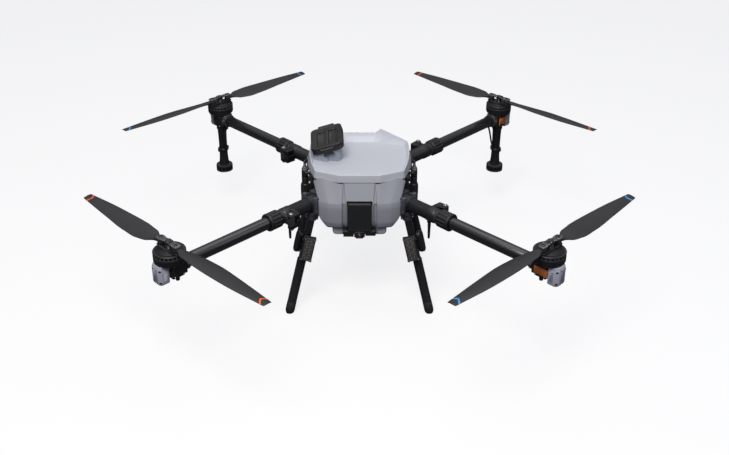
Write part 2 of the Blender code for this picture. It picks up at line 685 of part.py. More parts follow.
# radius, height of the pump's outline, top to bottom
PUMP_PROFILE = (
    (0.0, 0.4780), (0.0060, 0.4780), (0.0060, 0.4640), (0.0115, 0.4640),
    (0.0125, 0.4620), (0.0125, 0.3980), (0.0165, 0.3940), (0.0165, 0.3180),
    (0.0145, 0.3140), (0.0, 0.3140),
)


def build_belly_tray():
    """Tray open at the top and the rear."""
    ob = block(both(0.096), (-0.1750, 0.1650), (0.3100, 0.3950), 0.010, 'Y')
    cut(ob, block(both(0.0925), (-0.1715, 0.2000), (0.3140, 0.4200)))
    publish(ob, "belly_tray", "shell")


def build_battery():
    ob = block(both(0.0860), (-0.1000, BATTERY_BACK_Y), (0.3150, 0.3930), 0.004)
    union(ob, block(both(0.0450), (0.1600, 0.1850), (0.3450, 0.3650), 0.003))     # grip
    publish(ob, "battery", "battery", (0, BATTERY_BACK_Y, 0.354))


def build_flight_controller():
    ob = block(both(0.045), both(0.060), (PLATE_Z0 + PLATE_T + GAP, 0.4300), 0.004)
    publish(ob, "flight_controller", "controller")


def build_pumps():
    for side, tag in ((-1, "L"), (1, "R")):
        ob = place(turned(PUMP_PROFILE, 14), Matrix.Translation((side * PUMP_X, PUMP_Y, 0)))
        publish(ob, "pump_" + tag, "black_plastic",
                (side * PUMP_X, PUMP_Y, PUMP_PROFILE[-1][1]))


# ---------------------------------------------------------------- landing gear
LEG_TOP, LEG_FOOT = (0.165, 0.169, 0.393), (0.257, 0.217, 0.0)   # at +X, +Y
LEG_R, SLEEVE_R = 0.0135, 0.0165
TOE_R = SLEEVE_R * 0.62
JOINT_SHARE, LAMP_SHARE = 0.46, 0.318    # shares of the way from top to foot


def build_leg(tag, top, foot):
    """Splayed leg with a thicker lower sleeve, cut flat at the ground and the pad."""
    down = (foot - top).normalized()
    joint = top + (foot - top) * JOINT_SHARE
    ob = rod(LEG_R, top - down * 0.02, joint, 14)
    sleeve = rod(SLEEVE_R, joint - down * 0.004, foot - down * 0.012, 14)
    toe = rod(SLEEVE_R, foot - down * 0.0121, foot + down * 0.010, 14, TOE_R)
    union(ob, sleeve, toe)
    kept = block(both(0.25, top.x), both(0.25, top.y), (0.0, PAD_Z - GAP))
    combine(ob, [kept], 'INTERSECT')
    remove([kept])
    publish(ob, "leg_" + tag, "frame", (top.x, top.y, PAD_Z))


def build_lamp(tag, top, foot, side):
    """Lamp in front of a front leg, offset towards the middle of the airframe."""
    up = (top - foot).normalized()
    across = Vector((1, 0, -up.x / up.z)).normalized()
    back = up.cross(across).normalized()
    basis = Matrix((across, back, up)).transposed().to_4x4()
    seat = Matrix.Translation(top + (foot - top) * LAMP_SHARE) @ basis
    ob = block(both(0.021, -0.0105 * side), (-0.0400, -0.0172), both(0.045), 0.005, 'Y')
    publish(place(ob, seat), "lamp_" + tag, "lamp")


def build_landing_gear():
    for tag, side, end in (("FL", -1, -1), ("FR", 1, -1), ("RL", -1, 1), ("RR", 1, 1)):
        top, foot = (Vector((x * side, y * end, z)) for x, y, z in (LEG_TOP, LEG_FOOT))
        build_leg(tag, top, foot)
        if end < 0:
            build_lamp(tag, top, foot, side)


# ---------------------------------------------------------------- build
build_arms()
build_centre_frame()
build_tank()
build_tank_cap()
build_cap_latch()
build_covers()
build_radar_panel()
build_camera()
build_belly_tray()
build_battery()
build_flight_controller()
build_pumps()
build_landing_gear()
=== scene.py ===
"""A crop-spraying quadcopter with folding arms, a tank, lamps and rear spray nozzles.

Metres, +Z up, the ground at z = 0. The nose points to -Y, so left is -X. Arm pieces are
modelled along +X from the craft's centre and turned to each corner; cap pieces are
modelled in the tilted frame of the lid, whose top face is z = 0.
"""
from math import acos, atan2, copysign, cos, pi, radians, sin, sqrt, tan

import bpy
import bmesh
from mathutils import Matrix, Vector


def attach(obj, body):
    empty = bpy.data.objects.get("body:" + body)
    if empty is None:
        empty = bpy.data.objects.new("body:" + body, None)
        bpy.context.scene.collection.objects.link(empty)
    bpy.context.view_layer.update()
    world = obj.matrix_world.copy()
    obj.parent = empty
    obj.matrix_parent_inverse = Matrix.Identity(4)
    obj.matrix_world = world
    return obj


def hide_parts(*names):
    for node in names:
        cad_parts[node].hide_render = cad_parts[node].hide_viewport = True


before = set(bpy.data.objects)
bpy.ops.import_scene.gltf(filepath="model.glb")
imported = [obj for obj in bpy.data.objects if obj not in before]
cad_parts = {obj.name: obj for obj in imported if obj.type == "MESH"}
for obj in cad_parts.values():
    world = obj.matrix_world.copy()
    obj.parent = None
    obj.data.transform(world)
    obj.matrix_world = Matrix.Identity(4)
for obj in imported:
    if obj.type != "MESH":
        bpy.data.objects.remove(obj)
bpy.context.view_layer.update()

# ------------------------------------------------------------------ shared sizes
ROTOR_OFFSET = 0.5866                 # of each rotor from the centre, in x and in y
HUB_X = ROTOR_OFFSET * sqrt(2.0)      # rotor axis, along the arm
HUB = (HUB_X, 0, 0)
ARM_Z = 0.430                         # axis of the arm tubes
TUBE_RADIUS = 0.0215
BLADE_Z = 0.511
PIN_X, PIN_Y = 0.372, 0.045           # hinge pin of a folding arm
CLAMP_BOLT_X = 0.038                  # blade bolt, from the rotor axis

# arm: (direction in degrees, direction of its blades, turning hand, tip stripe)
ARMS = {
    "FL": (225.0, 136.6, -1, "stripe_orange"),
    "FR": (315.0, 43.4, 1, "stripe_blue"),
    "RL": (135.0, 43.4, 1, "stripe_blue"),
    "RR": (45.0, 136.6, -1, "stripe_orange"),
}

IDENTITY = Matrix.Identity(4)


def turn(axis, degrees):
    return Matrix.Rotation(radians(degrees), 4, axis)


def move(x=0.0, y=0.0, z=0.0):
    return Matrix.Translation((x, y, z))


# stands a flat plate up to face +X, its own y along z
FACE_X = turn('Y', 90) @ turn('Z', 90)


# ------------------------------------------------------------------ shader nodes
def add_node(tree, kind, sockets=None, **settings):
    """Adds a node. A socket given another node's output is linked, else it takes the value."""
    made = tree.nodes.new("ShaderNode" + kind)
    for key, value in settings.items():
        setattr(made, key, value)
    for key, value in (sockets or {}).items():
        if isinstance(value, bpy.types.NodeSocket):
            tree.links.new(value, made.inputs[key])
        else:
            made.inputs[key].default_value = value
    return made


def calc(tree, operation, *values):
    return add_node(tree, "Math", dict(enumerate(values)), operation=operation).outputs[0]


def mix_colour(tree, factor, first, second, **settings):
    sockets = {"Factor": factor, "A": first, "B": second}
    return add_node(tree, "Mix", sockets, data_type='RGBA', **settings).outputs["Result"]


def noise(tree, vector, scale, detail, roughness):
    sockets = {"Vector": vector, "Scale": scale, "Detail": detail, "Roughness": roughness}
    return add_node(tree, "TexNoise", sockets).outputs["Fac"]


def ramp(tree, factor, low, high, colours=((0, 0, 0, 1), (1, 1, 1, 1))):
    made = add_node(tree, "ValToRGB", {"Fac": factor})
    for stop, position, colour in zip(made.color_ramp.elements, (low, high), colours):
        stop.position = position
        stop.color = colour
    return made


def bump(tree, height, strength, distance=0.0004, normal=None, **settings):
    sockets = {"Height": height, "Strength": strength, "Distance": distance}
    if normal is not None:
        sockets["Normal"] = normal
    return add_node(tree, "Bump", sockets, **settings).outputs[0]


def srgb(*channels):
    """Linear colour from 0-255 display values."""
    def linear(value):
        value = value / 255.0
        return value / 12.92 if value <= 0.04045 else ((value + 0.055) / 1.055) ** 2.4
    return tuple(linear(value) for value in channels) + (1.0,)


def scaled(colour, factor):
    return tuple(min(1.0, value * factor) for value in colour[:3]) + (1.0,)


def surface_colour(tree, colour, clouds, fine, vary, wear, worn_rgb, dust):
    """Cloudy, speckled colour with paler worn edges and dust on faces that look up."""
    cloudy = mix_colour(tree, clouds, scaled(colour, 1.0 - vary), scaled(colour, 1.0 + vary))
    speckled = mix_colour(tree, 0.10, cloudy, fine, blend_type='OVERLAY')
    geometry = add_node(tree, "NewGeometry")
    edges = ramp(tree, geometry.outputs["Pointiness"], 0.53, 0.60).outputs["Color"]
    worn_share = calc(tree, 'MULTIPLY', calc(tree, 'MULTIPLY', edges, clouds), wear)
    worn_colour = srgb(*worn_rgb) if worn_rgb else scaled(colour, 2.2)
    worn = mix_colour(tree, worn_share, speckled, worn_colour)
    facing = add_node(tree, "SeparateXYZ", {0: geometry.outputs["Normal"]})
    upward = add_node(tree, "MapRange", {"Value": facing.outputs["Z"], "From Min": 0.55,
                                         "From Max": 1.0, "To Max": dust})
    dust_share = calc(tree, 'MULTIPLY', upward.outputs[0], clouds)
    return mix_colour(tree, dust_share, worn, (0.42, 0.40, 0.37, 1.0))


def surface(name, colour, rough, metal=0.0, grain=900.0, grain_bump=0.12, vary=0.06,
            wear=0.25, worn_rgb=None, scratch=0.25, dust=0.10, spec=0.5, coat=0.0,
            stretch=(1, 1, 1), cloud=7.0, painted=True):
    """Moulded or machined surface: cloudy colour, fine grain and scratches. An unpainted
    one is left without colour nodes. Returns the material, its tree and its shader."""
    material = bpy.data.materials.new(name)
    material.use_nodes = True
    tree = material.node_tree
    tree.nodes.clear()
    output = add_node(tree, "OutputMaterial")
    shader = add_node(tree, "BsdfPrincipled", {
        "Metallic": metal, "Specular IOR Level": spec, "Coat Weight": coat,
        "Coat Roughness": 0.25})
    tree.links.new(shader.outputs[0], output.inputs[0])
    place_in_object = add_node(tree, "TexCoord").outputs["Object"]
    grid = add_node(tree, "Mapping", {"Vector": place_in_object, "Scale": stretch}).outputs[0]
    clouds = noise(tree, grid, scale=cloud, detail=5.0, roughness=0.6)
    fine = noise(tree, grid, scale=grain, detail=2.0, roughness=0.5)
    # scratches: long thin noise, kept where it peaks
    streaks = add_node(tree, "Mapping", {"Vector": place_in_object, "Scale": (14.0, 160.0, 40.0),
                                         "Rotation": (0.3, 0.5, 0.7)}).outputs[0]
    streak_noise = noise(tree, streaks, scale=4.0, detail=4.0, roughness=0.7)
    scratches = ramp(tree, streak_noise, 0.60, 0.72).outputs["Color"]
    if painted:
        base = surface_colour(tree, colour, clouds, fine, vary, wear, worn_rgb, dust)
        tree.links.new(base, shader.inputs["Base Color"])
    uneven = add_node(tree, "MapRange", {"Value": clouds, "To Min": rough - 0.06,
                                         "To Max": rough + 0.08}).outputs[0]
    roughness = calc(tree, 'MULTIPLY_ADD', scratches, scratch * 0.35, uneven)
    tree.links.new(roughness, shader.inputs["Roughness"])
    grained = bump(tree, fine, strength=grain_bump)
    scored = bump(tree, scratches, strength=0.06 * scratch, normal=grained, invert=True)
    tree.links.new(scored, shader.inputs["Normal"])
    material.diffuse_color = colour
    return material, tree, shader


def carbon_material(pitch=0.0022):
    """Twill carbon cloth wrapped on a tube: loc holds (along, round, -) in metres."""
    material, tree, shader = surface("carbon_tube", srgb(17, 17, 19), 0.30, grain_bump=0.04,
                                     dust=0.05, wear=0.15)
    cloth = add_node(tree, "Attribute", attribute_name="loc").outputs["Vector"]
    axes = add_node(tree, "SeparateXYZ", {0: cloth})
    along = calc(tree, 'DIVIDE', axes.outputs["X"], pitch)
    around_tube = calc(tree, 'DIVIDE', axes.outputs["Y"], pitch)
    cell = calc(tree, 'ADD', calc(tree, 'FLOOR', along), calc(tree, 'FLOOR', around_tube))
    warp = calc(tree, 'LESS_THAN', calc(tree, 'FLOORED_MODULO', cell, 4.0), 2.0)

    def off_middle(value):
        return calc(tree, 'ABSOLUTE', calc(tree, 'SUBTRACT', calc(tree, 'FRACT', value), 0.5))
    strand = add_node(tree, "Mix", {"Factor": warp, "A": off_middle(along),
                                    "B": off_middle(around_tube)}).outputs["Result"]
    height = calc(tree, 'SUBTRACT', 1.0, strand)
    woven = bump(tree, height, strength=0.35, distance=0.0003,
                 normal=shader.inputs["Normal"].links[0].from_socket)
    tree.links.new(woven, shader.inputs["Normal"])
    plain = shader.inputs["Base Color"].links[0].from_socket
    tone = mix_colour(tree, warp, plain, (0.62, 0.62, 0.64, 1), blend_type='MULTIPLY')
    tree.links.new(tone, shader.inputs["Base Color"])
    shader.inputs["Coat Weight"].default_value = 0.9
    shader.inputs["Coat Roughness"].default_value = 0.11
    return material


def lens_material():
    """Dark glass with a painted reflection: a violet tint, shifting with the viewing angle,
    painted into its base colour.
    """
    material, tree, shader = surface("lens_glass", srgb(12, 8, 22), 0.06, grain=200,
                                     grain_bump=0.0, scratch=0.05, coat=1.0, spec=0.9,
                                     painted=False)
    facing = add_node(tree, "LayerWeight", {"Blend": 0.4}).outputs["Facing"]
    painted_reflection_tint = ramp(tree, facing, 0.0, 1.0, ((0.05, 0.012, 0.10, 1), (0.01, 0.03, 0.09, 1)))
    painted_reflection_tint.color_ramp.elements.new(0.45).color = (0.16, 0.03, 0.26, 1)
    tree.links.new(painted_reflection_tint.outputs["Color"], shader.inputs["Base Color"])
    shader.inputs["Coat Roughness"].default_value = 0.02
    return material


# ------------------------------------------------------------------ materials
# key, material name, display colour, roughness, finish, other settings
FINISH = ("grain", "grain_bump", "vary", "wear", "scratch", "dust")
SURFACES = [
    ("tank", "tank_polyethylene", (190, 193, 201), 0.44,
     (1400, 0.05, 0.025, 0.15, 0.3, 0.05), dict(worn_rgb=(225, 227, 232))),
    # painted shade: the tank's polyethylene, painted darker and bluer for the shade on the neck's
    # upright walls
    ("neck", "neck_polyethylene_shaded", (146, 151, 164), 0.46,
     (1400, 0.05, 0.03, 0.15, 0.3, 0.05), {}),
    ("shell", "shell_grey_plastic", (147, 149, 157), 0.46,
     (1300, 0.07, 0.03, 0.20, 0.35, 0.06), dict(worn_rgb=(185, 187, 195))),
    # painted light: the shell's grey plastic, painted paler to offset the shade under the nose
    # cover
    ("belly", "belly_grey_plastic_lit", (172, 176, 188), 0.5,
     (1300, 0.08, 0.04, 0.2, 0.4, 0.06), {}),
    ("cover", "end_cover_plastic", (170, 173, 187), 0.45,
     (1200, 0.07, 0.03, 0.3, 0.35, 0.05), dict(worn_rgb=(178, 180, 190))),
    ("black", "black_moulded_nylon", (19, 19, 21), 0.48,
     (1000, 0.16, 0.10, 0.35, 0.4, 0.06), dict(worn_rgb=(92, 92, 95))),
    ("black_fine", "black_satin_plastic", (20, 20, 23), 0.38,
     (1600, 0.08, 0.08, 0.35, 0.4, 0.05), dict(worn_rgb=(88, 88, 92))),
    ("lock", "lock_black_alloy", (11, 11, 13), 0.46,
     (1500, 0.10, 0.08, 0.35, 0.4, 0.03), dict(metal=0.2, worn_rgb=(70, 70, 73))),
    ("anodised", "black_anodised_alloy", (26, 26, 29), 0.38,
     (2200, 0.05, 0.08, 0.6, 0.5, 0.06), dict(metal=0.45, worn_rgb=(150, 150, 155))),
    ("bell", "bell_anodised_alloy", (25, 25, 27), 0.42, (2400, 0.04, 0.07, 0.5, 0.4, 0.05),
     dict(metal=0.35, worn_rgb=(140, 140, 146), stretch=(1, 1, 5))),
    ("bracket", "bracket_alloy", (68, 70, 79), 0.42,
     (2000, 0.06, 0.08, 0.6, 0.5, 0.06), dict(metal=0.4, worn_rgb=(165, 168, 178))),
    ("steel", "stainless_screw", (196, 198, 202), 0.26,
     (2600, 0.05, 0.10, 0.3, 0.5, 0.02), dict(metal=1.0, worn_rgb=(235, 235, 238))),
    ("clamp", "blasted_clamp_alloy", (124, 124, 128), 0.32,
     (2200, 0.12, 0.10, 0.7, 0.5, 0.04), dict(metal=0.85, worn_rgb=(200, 200, 204))),
    ("blade", "blade_carbon_nylon", (38, 38, 40), 0.38,
     (1500, 0.05, 0.10, 0.25, 0.45, 0.04), dict(worn_rgb=(84, 84, 86), cloud=9.0)),
    ("orange", "orange_plate", (244, 132, 66), 0.48,
     (1200, 0.10, 0.05, 0.3, 0.3, 0.04), dict(worn_rgb=(245, 160, 110))),
    ("stripe_orange", "stripe_orange_paint", (232, 96, 38), 0.42,
     (1200, 0.04, 0.05, 0.1, 0.5, 0.03), {}),
    ("stripe_blue", "stripe_blue_paint", (66, 146, 214), 0.42,
     (1200, 0.04, 0.05, 0.1, 0.5, 0.03), {}),
    ("rubber", "black_rubber", (26, 26, 27), 0.66,
     (700, 0.22, 0.14, 0.2, 0.2, 0.14), dict(worn_rgb=(70, 70, 70))),
    ("radar", "radar_radome", (25, 26, 27), 0.58,
     (1100, 0.18, 0.05, 0.3, 0.25, 0.05), dict(worn_rgb=(75, 76, 78))),
    ("lamp_face", "lamp_face_plate", (66, 67, 69), 0.42,
     (1800, 0.10, 0.12, 0.2, 0.4, 0.04), dict(cloud=60.0)),
    ("led", "led_phosphor", (168, 128, 52), 0.35,
     (3000, 0.05, 0.12, 0.0, 0.1, 0.0), dict(coat=0.5)),
    ("led_base", "led_package", (120, 112, 92), 0.4, (3000, 0.05, 0.1, 0.0, 0.1, 0.0), {}),
    ("copper", "copper_winding", (176, 98, 56), 0.34,
     (2600, 0.3, 0.15, 0.0, 0.3, 0.0), dict(metal=1.0, stretch=(1, 1, 6))),
    ("iron", "stator_lamination", (84, 84, 88), 0.45,
     (3000, 0.2, 0.1, 0.1, 0.2, 0.0), dict(metal=0.8, stretch=(0.2, 0.2, 8))),
    ("hose", "hose_rubber", (26, 26, 28), 0.5, (800, 0.15, 0.10, 0.15, 0.3, 0.08), {}),
    ("pump", "pump_housing", (26, 26, 28), 0.42,
     (1200, 0.12, 0.10, 0.4, 0.4, 0.06), dict(worn_rgb=(95, 95, 98))),
    ("fitting", "grey_fitting", (96, 98, 104), 0.42, (1400, 0.08, 0.08, 0.3, 0.3, 0.06), {}),
    ("battery", "battery_case", (58, 59, 64), 0.5,
     (900, 0.16, 0.08, 0.35, 0.5, 0.08), dict(worn_rgb=(110, 110, 115))),
    # near-black painted shade: thin dark patches and sleeves put in slots, holes and gaps where
    # there is only shade
    ("seam", "seam_shadow", (9, 9, 10), 0.8, (900, 0.1, 0.05, 0.0, 0.1, 0.0), {}),
    ("basket", "strainer_mesh", (58, 66, 84), 0.5, (900, 0.1, 0.08, 0.2, 0.2, 0.0), {}),
]
MATERIALS = {}
for key, name, rgb, rough, finish, extras in SURFACES:
    MATERIALS[key] = surface(name, srgb(*rgb), rough, **dict(zip(FINISH, finish)), **extras)[0]
MATERIALS["carbon"] = carbon_material()
MATERIALS["lens"] = lens_material()


# ------------------------------------------------------------------ mesh helpers
def to_mesh(build, recalc=True):
    if recalc:
        bmesh.ops.recalc_face_normals(build, faces=build.faces)
    mesh = bpy.data.meshes.new("part")
    build.to_mesh(mesh)
    build.free()
    return mesh


def mesh_facing(build, direction):
    """The open sheet as a mesh, its faces turned towards the direction."""
    build.normal_update()
    if sum(face.normal.dot(Vector(direction)) for face in build.faces) < 0:
        bmesh.ops.reverse_faces(build, faces=build.faces)
    return to_mesh(build, recalc=False)


def moved(mesh, matrix):
    mesh = mesh.copy()
    mesh.transform(matrix)
    return mesh


def around(parts, count, shift=0.0, at=IDENTITY):
    """Copies of the parts spaced evenly round Z; shift is a share of one step."""
    return [moved(mesh, at @ Matrix.Rotation(2 * pi * (i + shift) / count, 4, 'Z'))
            for i in range(count) for mesh in parts]


def join(meshes):
    build = bmesh.new()
    for mesh in meshes:
        build.from_mesh(mesh)
    return to_mesh(build, recalc=False)


def temp_object(mesh):
    obj = bpy.data.objects.new("temp", mesh)
    bpy.context.scene.collection.objects.link(obj)
    return obj


def modified(mesh, kind, **settings):
    """The mesh with one modifier applied."""
    obj = temp_object(mesh)
    modifier = obj.modifiers.new("step", kind)
    for key, value in settings.items():
        setattr(modifier, key, value)
    graph = bpy.context.evaluated_depsgraph_get()
    graph.update()
    result = bpy.data.meshes.new_from_object(obj.evaluated_get(graph))
    bpy.data.objects.remove(obj, do_unlink=True)
    return result


def bevel(mesh, width, seg=3, angle=30.0):
    for face in mesh.polygons:
        face.use_smooth = True
    return modified(mesh, 'BEVEL', width=width, segments=seg, limit_method='ANGLE',
                    angle_limit=radians(angle), harden_normals=True, use_clamp_overlap=True)


def boolean(mesh, other, operation='DIFFERENCE'):
    tool = temp_object(other)
    result = modified(mesh, 'BOOLEAN', operation=operation, solver='EXACT', object=tool)
    bpy.data.objects.remove(tool, do_unlink=True)
    return result


def box(corner, opposite):
    low = Vector(tuple(map(min, corner, opposite)))
    high = Vector(tuple(map(max, corner, opposite)))
    build = bmesh.new()
    bmesh.ops.create_cube(build, size=1.0)
    bmesh.ops.scale(build, vec=high - low, verts=build.verts)
    bmesh.ops.translate(build, vec=(low + high) / 2, verts=build.verts)
    return to_mesh(build)


def rbox(corner, opposite, edge, seg=3):
    """Box between two opposite corners, its edges rounded."""
    return bevel(box(corner, opposite), edge, seg)


def rod(radius, start, end, seg):
    start, end = Vector(start), Vector(end)
    build = bmesh.new()
    bmesh.ops.create_cone(build, cap_ends=True, segments=seg, radius1=radius, radius2=radius,
                          depth=(end - start).length)
    lean = (end - start).to_track_quat('Z', 'Y').to_matrix().to_4x4()
    bmesh.ops.transform(build, matrix=Matrix.Translation((start + end) / 2) @ lean,
                        verts=build.verts)
    return to_mesh(build)


def skin(rings, loop=False, caps=(True, True)):
    """Quads through rings of equal count. A ring of one point is a pole; loop joins the
    last ring to the first."""
    build = bmesh.new()
    rows = [[build.verts.new(point) for point in ring] for ring in rings]
    pairs = list(zip(rows, rows[1:]))
    if loop:
        pairs.append((rows[-1], rows[0]))
    for low, high in pairs:
        count = max(len(low), len(high))
        for i in range(count):
            j = (i + 1) % count
            corners = []
            for vert in (low[i % len(low)], low[j % len(low)],
                         high[j % len(high)], high[i % len(high)]):
                if vert not in corners:
                    corners.append(vert)
            if len(corners) > 2:
                build.faces.new(corners)
    if not loop:
        if caps[0] and len(rows[0]) > 2:
            build.faces.new(list(reversed(rows[0])))
        if caps[1] and len(rows[-1]) > 2:
            build.faces.new(rows[-1])
    return to_mesh(build)


def at_z(points, z):
    return [(x, y, z) for x, y in points]


def at_y(points, y):
    """Stands an (x, z) outline up at the given y."""
    return [(x, y, z) for x, z in points]


def circle(radius, count, start=0.0, x=0.0, y=0.0):
    return [(x + radius * cos(2 * pi * i / count + start),
             y + radius * sin(2 * pi * i / count + start)) for i in range(count)]


def arc(x, y, radius, start, sweep_angle, steps):
    angles = [radians(start + sweep_angle * i / steps) for i in range(steps + 1)]
    return [(x + radius * cos(angle), y + radius * sin(angle)) for angle in angles]


def lathe(profile, seg, at=(0, 0, 0), loop=False):
    """Turns (radius, height) points round Z."""
    mesh = skin([[(0.0, 0.0, z)] if radius < 1e-6 else at_z(circle(radius, seg), z)
                 for radius, z in profile], loop=loop)
    mesh.transform(Matrix.Translation(at))
    return mesh


def arm_sleeve(profile, seg):
    """Hollow turned part on the arm's axis: (radius, place along the arm) points."""
    mesh = lathe(profile, seg, loop=True)
    mesh.transform(turn('Y', 90))
    mesh.transform(move(z=ARM_Z))
    return mesh


def corner_arc(start, corner, end, seg):
    shares = [k / seg for k in range(seg + 1)]
    return [start * (1 - f) ** 2 + corner * 2 * f * (1 - f) + end * f ** 2 for f in shares]


def rounded(points, radii, seg=5):
    """A closed outline with its corners rounded by one radius or one each."""
    out = []
    count = len(points)
    for i in range(count):
        corner = Vector(points[i])
        back, ahead = Vector(points[i - 1]) - corner, Vector(points[(i + 1) % count]) - corner
        radius = radii[i] if isinstance(radii, (list, tuple)) else radii
        back_length, ahead_length = back.length, ahead.length
        back.normalize()
        ahead.normalize()
        half = acos(max(-1, min(1, back.dot(ahead)))) / 2
        if radius <= 0 or half > radians(89.5):
            out += [tuple(corner)] * (seg + 1)
            continue
        cut = min(radius / tan(half), back_length * 0.48, ahead_length * 0.48)
        bend = corner_arc(corner + back * cut, corner, corner + ahead * cut, seg)
        out += [tuple(point) for point in bend]
    return out


def rect(x0, y0, x1, y1, inset=0.0, first=0):
    """Corners anticlockwise; first = 0 starts at (x0, y0), 1 at (x1, y0)."""
    corners = [(x0 + inset, y0 + inset), (x1 - inset, y0 + inset),
               (x1 - inset, y1 - inset), (x0 + inset, y1 - inset)]
    return corners[first:] + corners[:first]


def rrect(width, height, radius, seg, x=0.0, y=0.0):
    return rounded(rect(x - width / 2, y - height / 2, x + width / 2, y + height / 2, first=1),
                   radius, seg)


def prism(points, z0, z1):
    build = bmesh.new()
    low = [build.verts.new(point) for point in at_z(points, z0)]
    high = [build.verts.new(point) for point in at_z(points, z1)]
    build.faces.new(list(reversed(low)))
    build.faces.new(high)
    for i in range(len(points)):
        j = (i + 1) % len(points)
        build.faces.new((low[i], low[j], high[j], high[i]))
    return to_mesh(build)


def plate(points, z0, z1, edge, seg=2, angle=35):
    """Prism with rounded edges."""
    return bevel(prism(points, z0, z1), edge, seg, angle)


def spline(points, steps, clamped=False):
    """Smooth path through points; clamped repeats the end points as its guides."""
    path = [Vector(point) for point in points]
    if clamped:
        path = [path[0]] + path + [path[-1]]
    else:
        path = [path[0] * 2 - path[1]] + path + [path[-1] * 2 - path[-2]]
    out = []
    for i in range(1, len(path) - 2):
        before, start, end, after = path[i - 1:i + 3]
        for k in range(steps):
            t = k / steps
            out.append(0.5 * ((2 * start) + (end - before) * t
                              + (2 * before - 5 * start + 4 * end - after) * t * t
                              + (3 * start - before - 3 * end + after) * t ** 3))
    out.append(path[-2])
    return out


def sweep(path, radius, seg):
    """A round tube along a path; radius may be a function of the share 0..1."""
    path = [Vector(point) for point in path]
    last = len(path) - 1
    rings = []
    normal = None
    for i, point in enumerate(path):
        ahead = (path[min(i + 1, last)] - path[max(i - 1, 0)]).normalized()
        if normal is None:
            normal = ahead.orthogonal().normalized()
        normal = (normal - ahead * normal.dot(ahead)).normalized()
        across = ahead.cross(normal)
        size = radius(i / last) if callable(radius) else radius
        rings.append([point + (normal * cos(2 * pi * k / seg) + across * sin(2 * pi * k / seg))
                      * size for k in range(seg)])
    return skin(rings)


def smooth(low, high, x):
    t = min(1.0, max(0.0, (x - low) / (high - low)))
    return t * t * (3 - 2 * t)


def screw(at, direction, radius, height):
    """Socket head screw: rounded head with a hexagon recess."""
    seg = 24

    def hexagon_ring(z, flat):
        out = []
        for i in range(seg):
            angle = 2 * pi * i / seg
            reach = flat / cos((angle % (pi / 3)) - pi / 6)
            out.append((reach * cos(angle), reach * sin(angle), z))
        return out
    head = [(radius, 0.0), (radius, height * 0.65), (radius * 0.86, height),
            (radius * 0.55, height)]
    rings = [[(0, 0, 0.0)]] + [at_z(circle(size, seg), z) for size, z in head]
    rings += [hexagon_ring(height, radius * 0.46), hexagon_ring(height * 0.35, radius * 0.44),
              [(0, 0, height * 0.30)]]
    mesh = skin(rings)
    aim = Vector(direction).normalized().to_track_quat('Z', 'Y').to_matrix().to_4x4()
    mesh.transform(Matrix.Translation(at) @ aim)
    return mesh


def place(rows, at=IDENTITY, tag=""):
    """Puts pieces into the scene; {} in their names becomes the tag. A row is (object,
    mesh, material, body it rides on, slot, extras); the slot is not used. The extras may
    hold the CAD node it replaces, its smoothing angle and a function giving its loc attribute."""
    for name, mesh, material, body, slot, *extras in rows:
        extras = extras[0] if extras else {}
        mesh = mesh.copy()
        mesh.name = name.format(tag)
        if "loc" in extras:
            attribute = mesh.attributes.new("loc", 'FLOAT_VECTOR', 'POINT')
            for i, vert in enumerate(mesh.vertices):
                attribute.data[i].vector = extras["loc"](vert.co)
        mesh.transform(at)
        mesh.materials.clear()
        mesh.materials.append(MATERIALS[material])
        mesh.shade_smooth()
        mesh.set_sharp_from_angle(angle=radians(extras.get("angle", 32.0)))
        obj = bpy.data.objects.new(name.format(tag), mesh)
        bpy.context.scene.collection.objects.link(obj)
        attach(obj, body.format(tag))
        if "replaces" in extras:
            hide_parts(extras["replaces"].format(tag))


# ------------------------------------------------------------------ arm hinge and tube
def socket_tube():
    return arm_sleeve([
        (0.0220, 0.2085), (0.0243, 0.2085), (0.0250, 0.2095), (0.0250, 0.3380), (0.0262, 0.3400),
        (0.0272, 0.3420), (0.0272, 0.3725), (0.0260, 0.3745), (0.0250, 0.3762), (0.0228, 0.3762),
        (0.0220, 0.3750)], 72)


def hinge_block():
    """Split block beside the socket's end, with an ear above and below the arm's lug."""
    block = rounded(rect(0.3385, 0.018, 0.356, 0.0560), [0.0, 0.0, 0.003, 0.008], 6)
    parts = [plate(block, ARM_Z + low, ARM_Z + high, 0.0022, 3)
             for low, high in ((-0.0290, -0.0012), (0.0012, 0.0215))]
    parts.append(box((0.3398, 0.018, ARM_Z - 0.0277), (0.3545, 0.0548, ARM_Z + 0.0203)))
    ear = [(0.350, 0.022), (0.3655, 0.0295)] + arc(PIN_X, PIN_Y, 0.0130, -62, 162, 14)
    ear += [(0.350, 0.0565)]
    boss, boss_height = 0.0108, 0.0011
    for low, high, face, out in ((-0.0285, -0.0138, -0.0285, -1), (0.0138, 0.0210, 0.0210, 1)):
        parts.append(plate(ear, ARM_Z + low, ARM_Z + high, 0.0016, 3))
        foot = ARM_Z + face
        top = foot + out * boss_height
        parts.append(lathe([(0.0, foot), (boss, foot), (boss, top), (0.0, top)], 40,
                           (PIN_X, PIN_Y, 0)))
    return join(parts)


def hinge_bolt():
    head = plate(circle(0.0086, 6, 0.35, PIN_X, PIN_Y), ARM_Z + 0.0220, ARM_Z + 0.0270,
                 0.0009, 2, 30)
    return boolean(head, rod(0.0042, (PIN_X, PIN_Y, ARM_Z + 0.0244),
                             (PIN_X, PIN_Y, ARM_Z + 0.030), 24))


def hinge_pin():
    return rod(0.0050, (PIN_X, PIN_Y, ARM_Z - 0.0310), (PIN_X, PIN_Y, ARM_Z + 0.0224), 32)


def hinge_nut():
    return plate(circle(0.0080, 6, 0.1, PIN_X, PIN_Y), ARM_Z - 0.0362, ARM_Z - 0.0316,
                 0.0008, 2, 30)


def arm_tube():
    return arm_sleeve([(0.0197, 0.3785), (TUBE_RADIUS, 0.3785), (TUBE_RADIUS, 0.8470),
                       (0.0209, 0.8480), (0.0197, 0.8480)], 96)


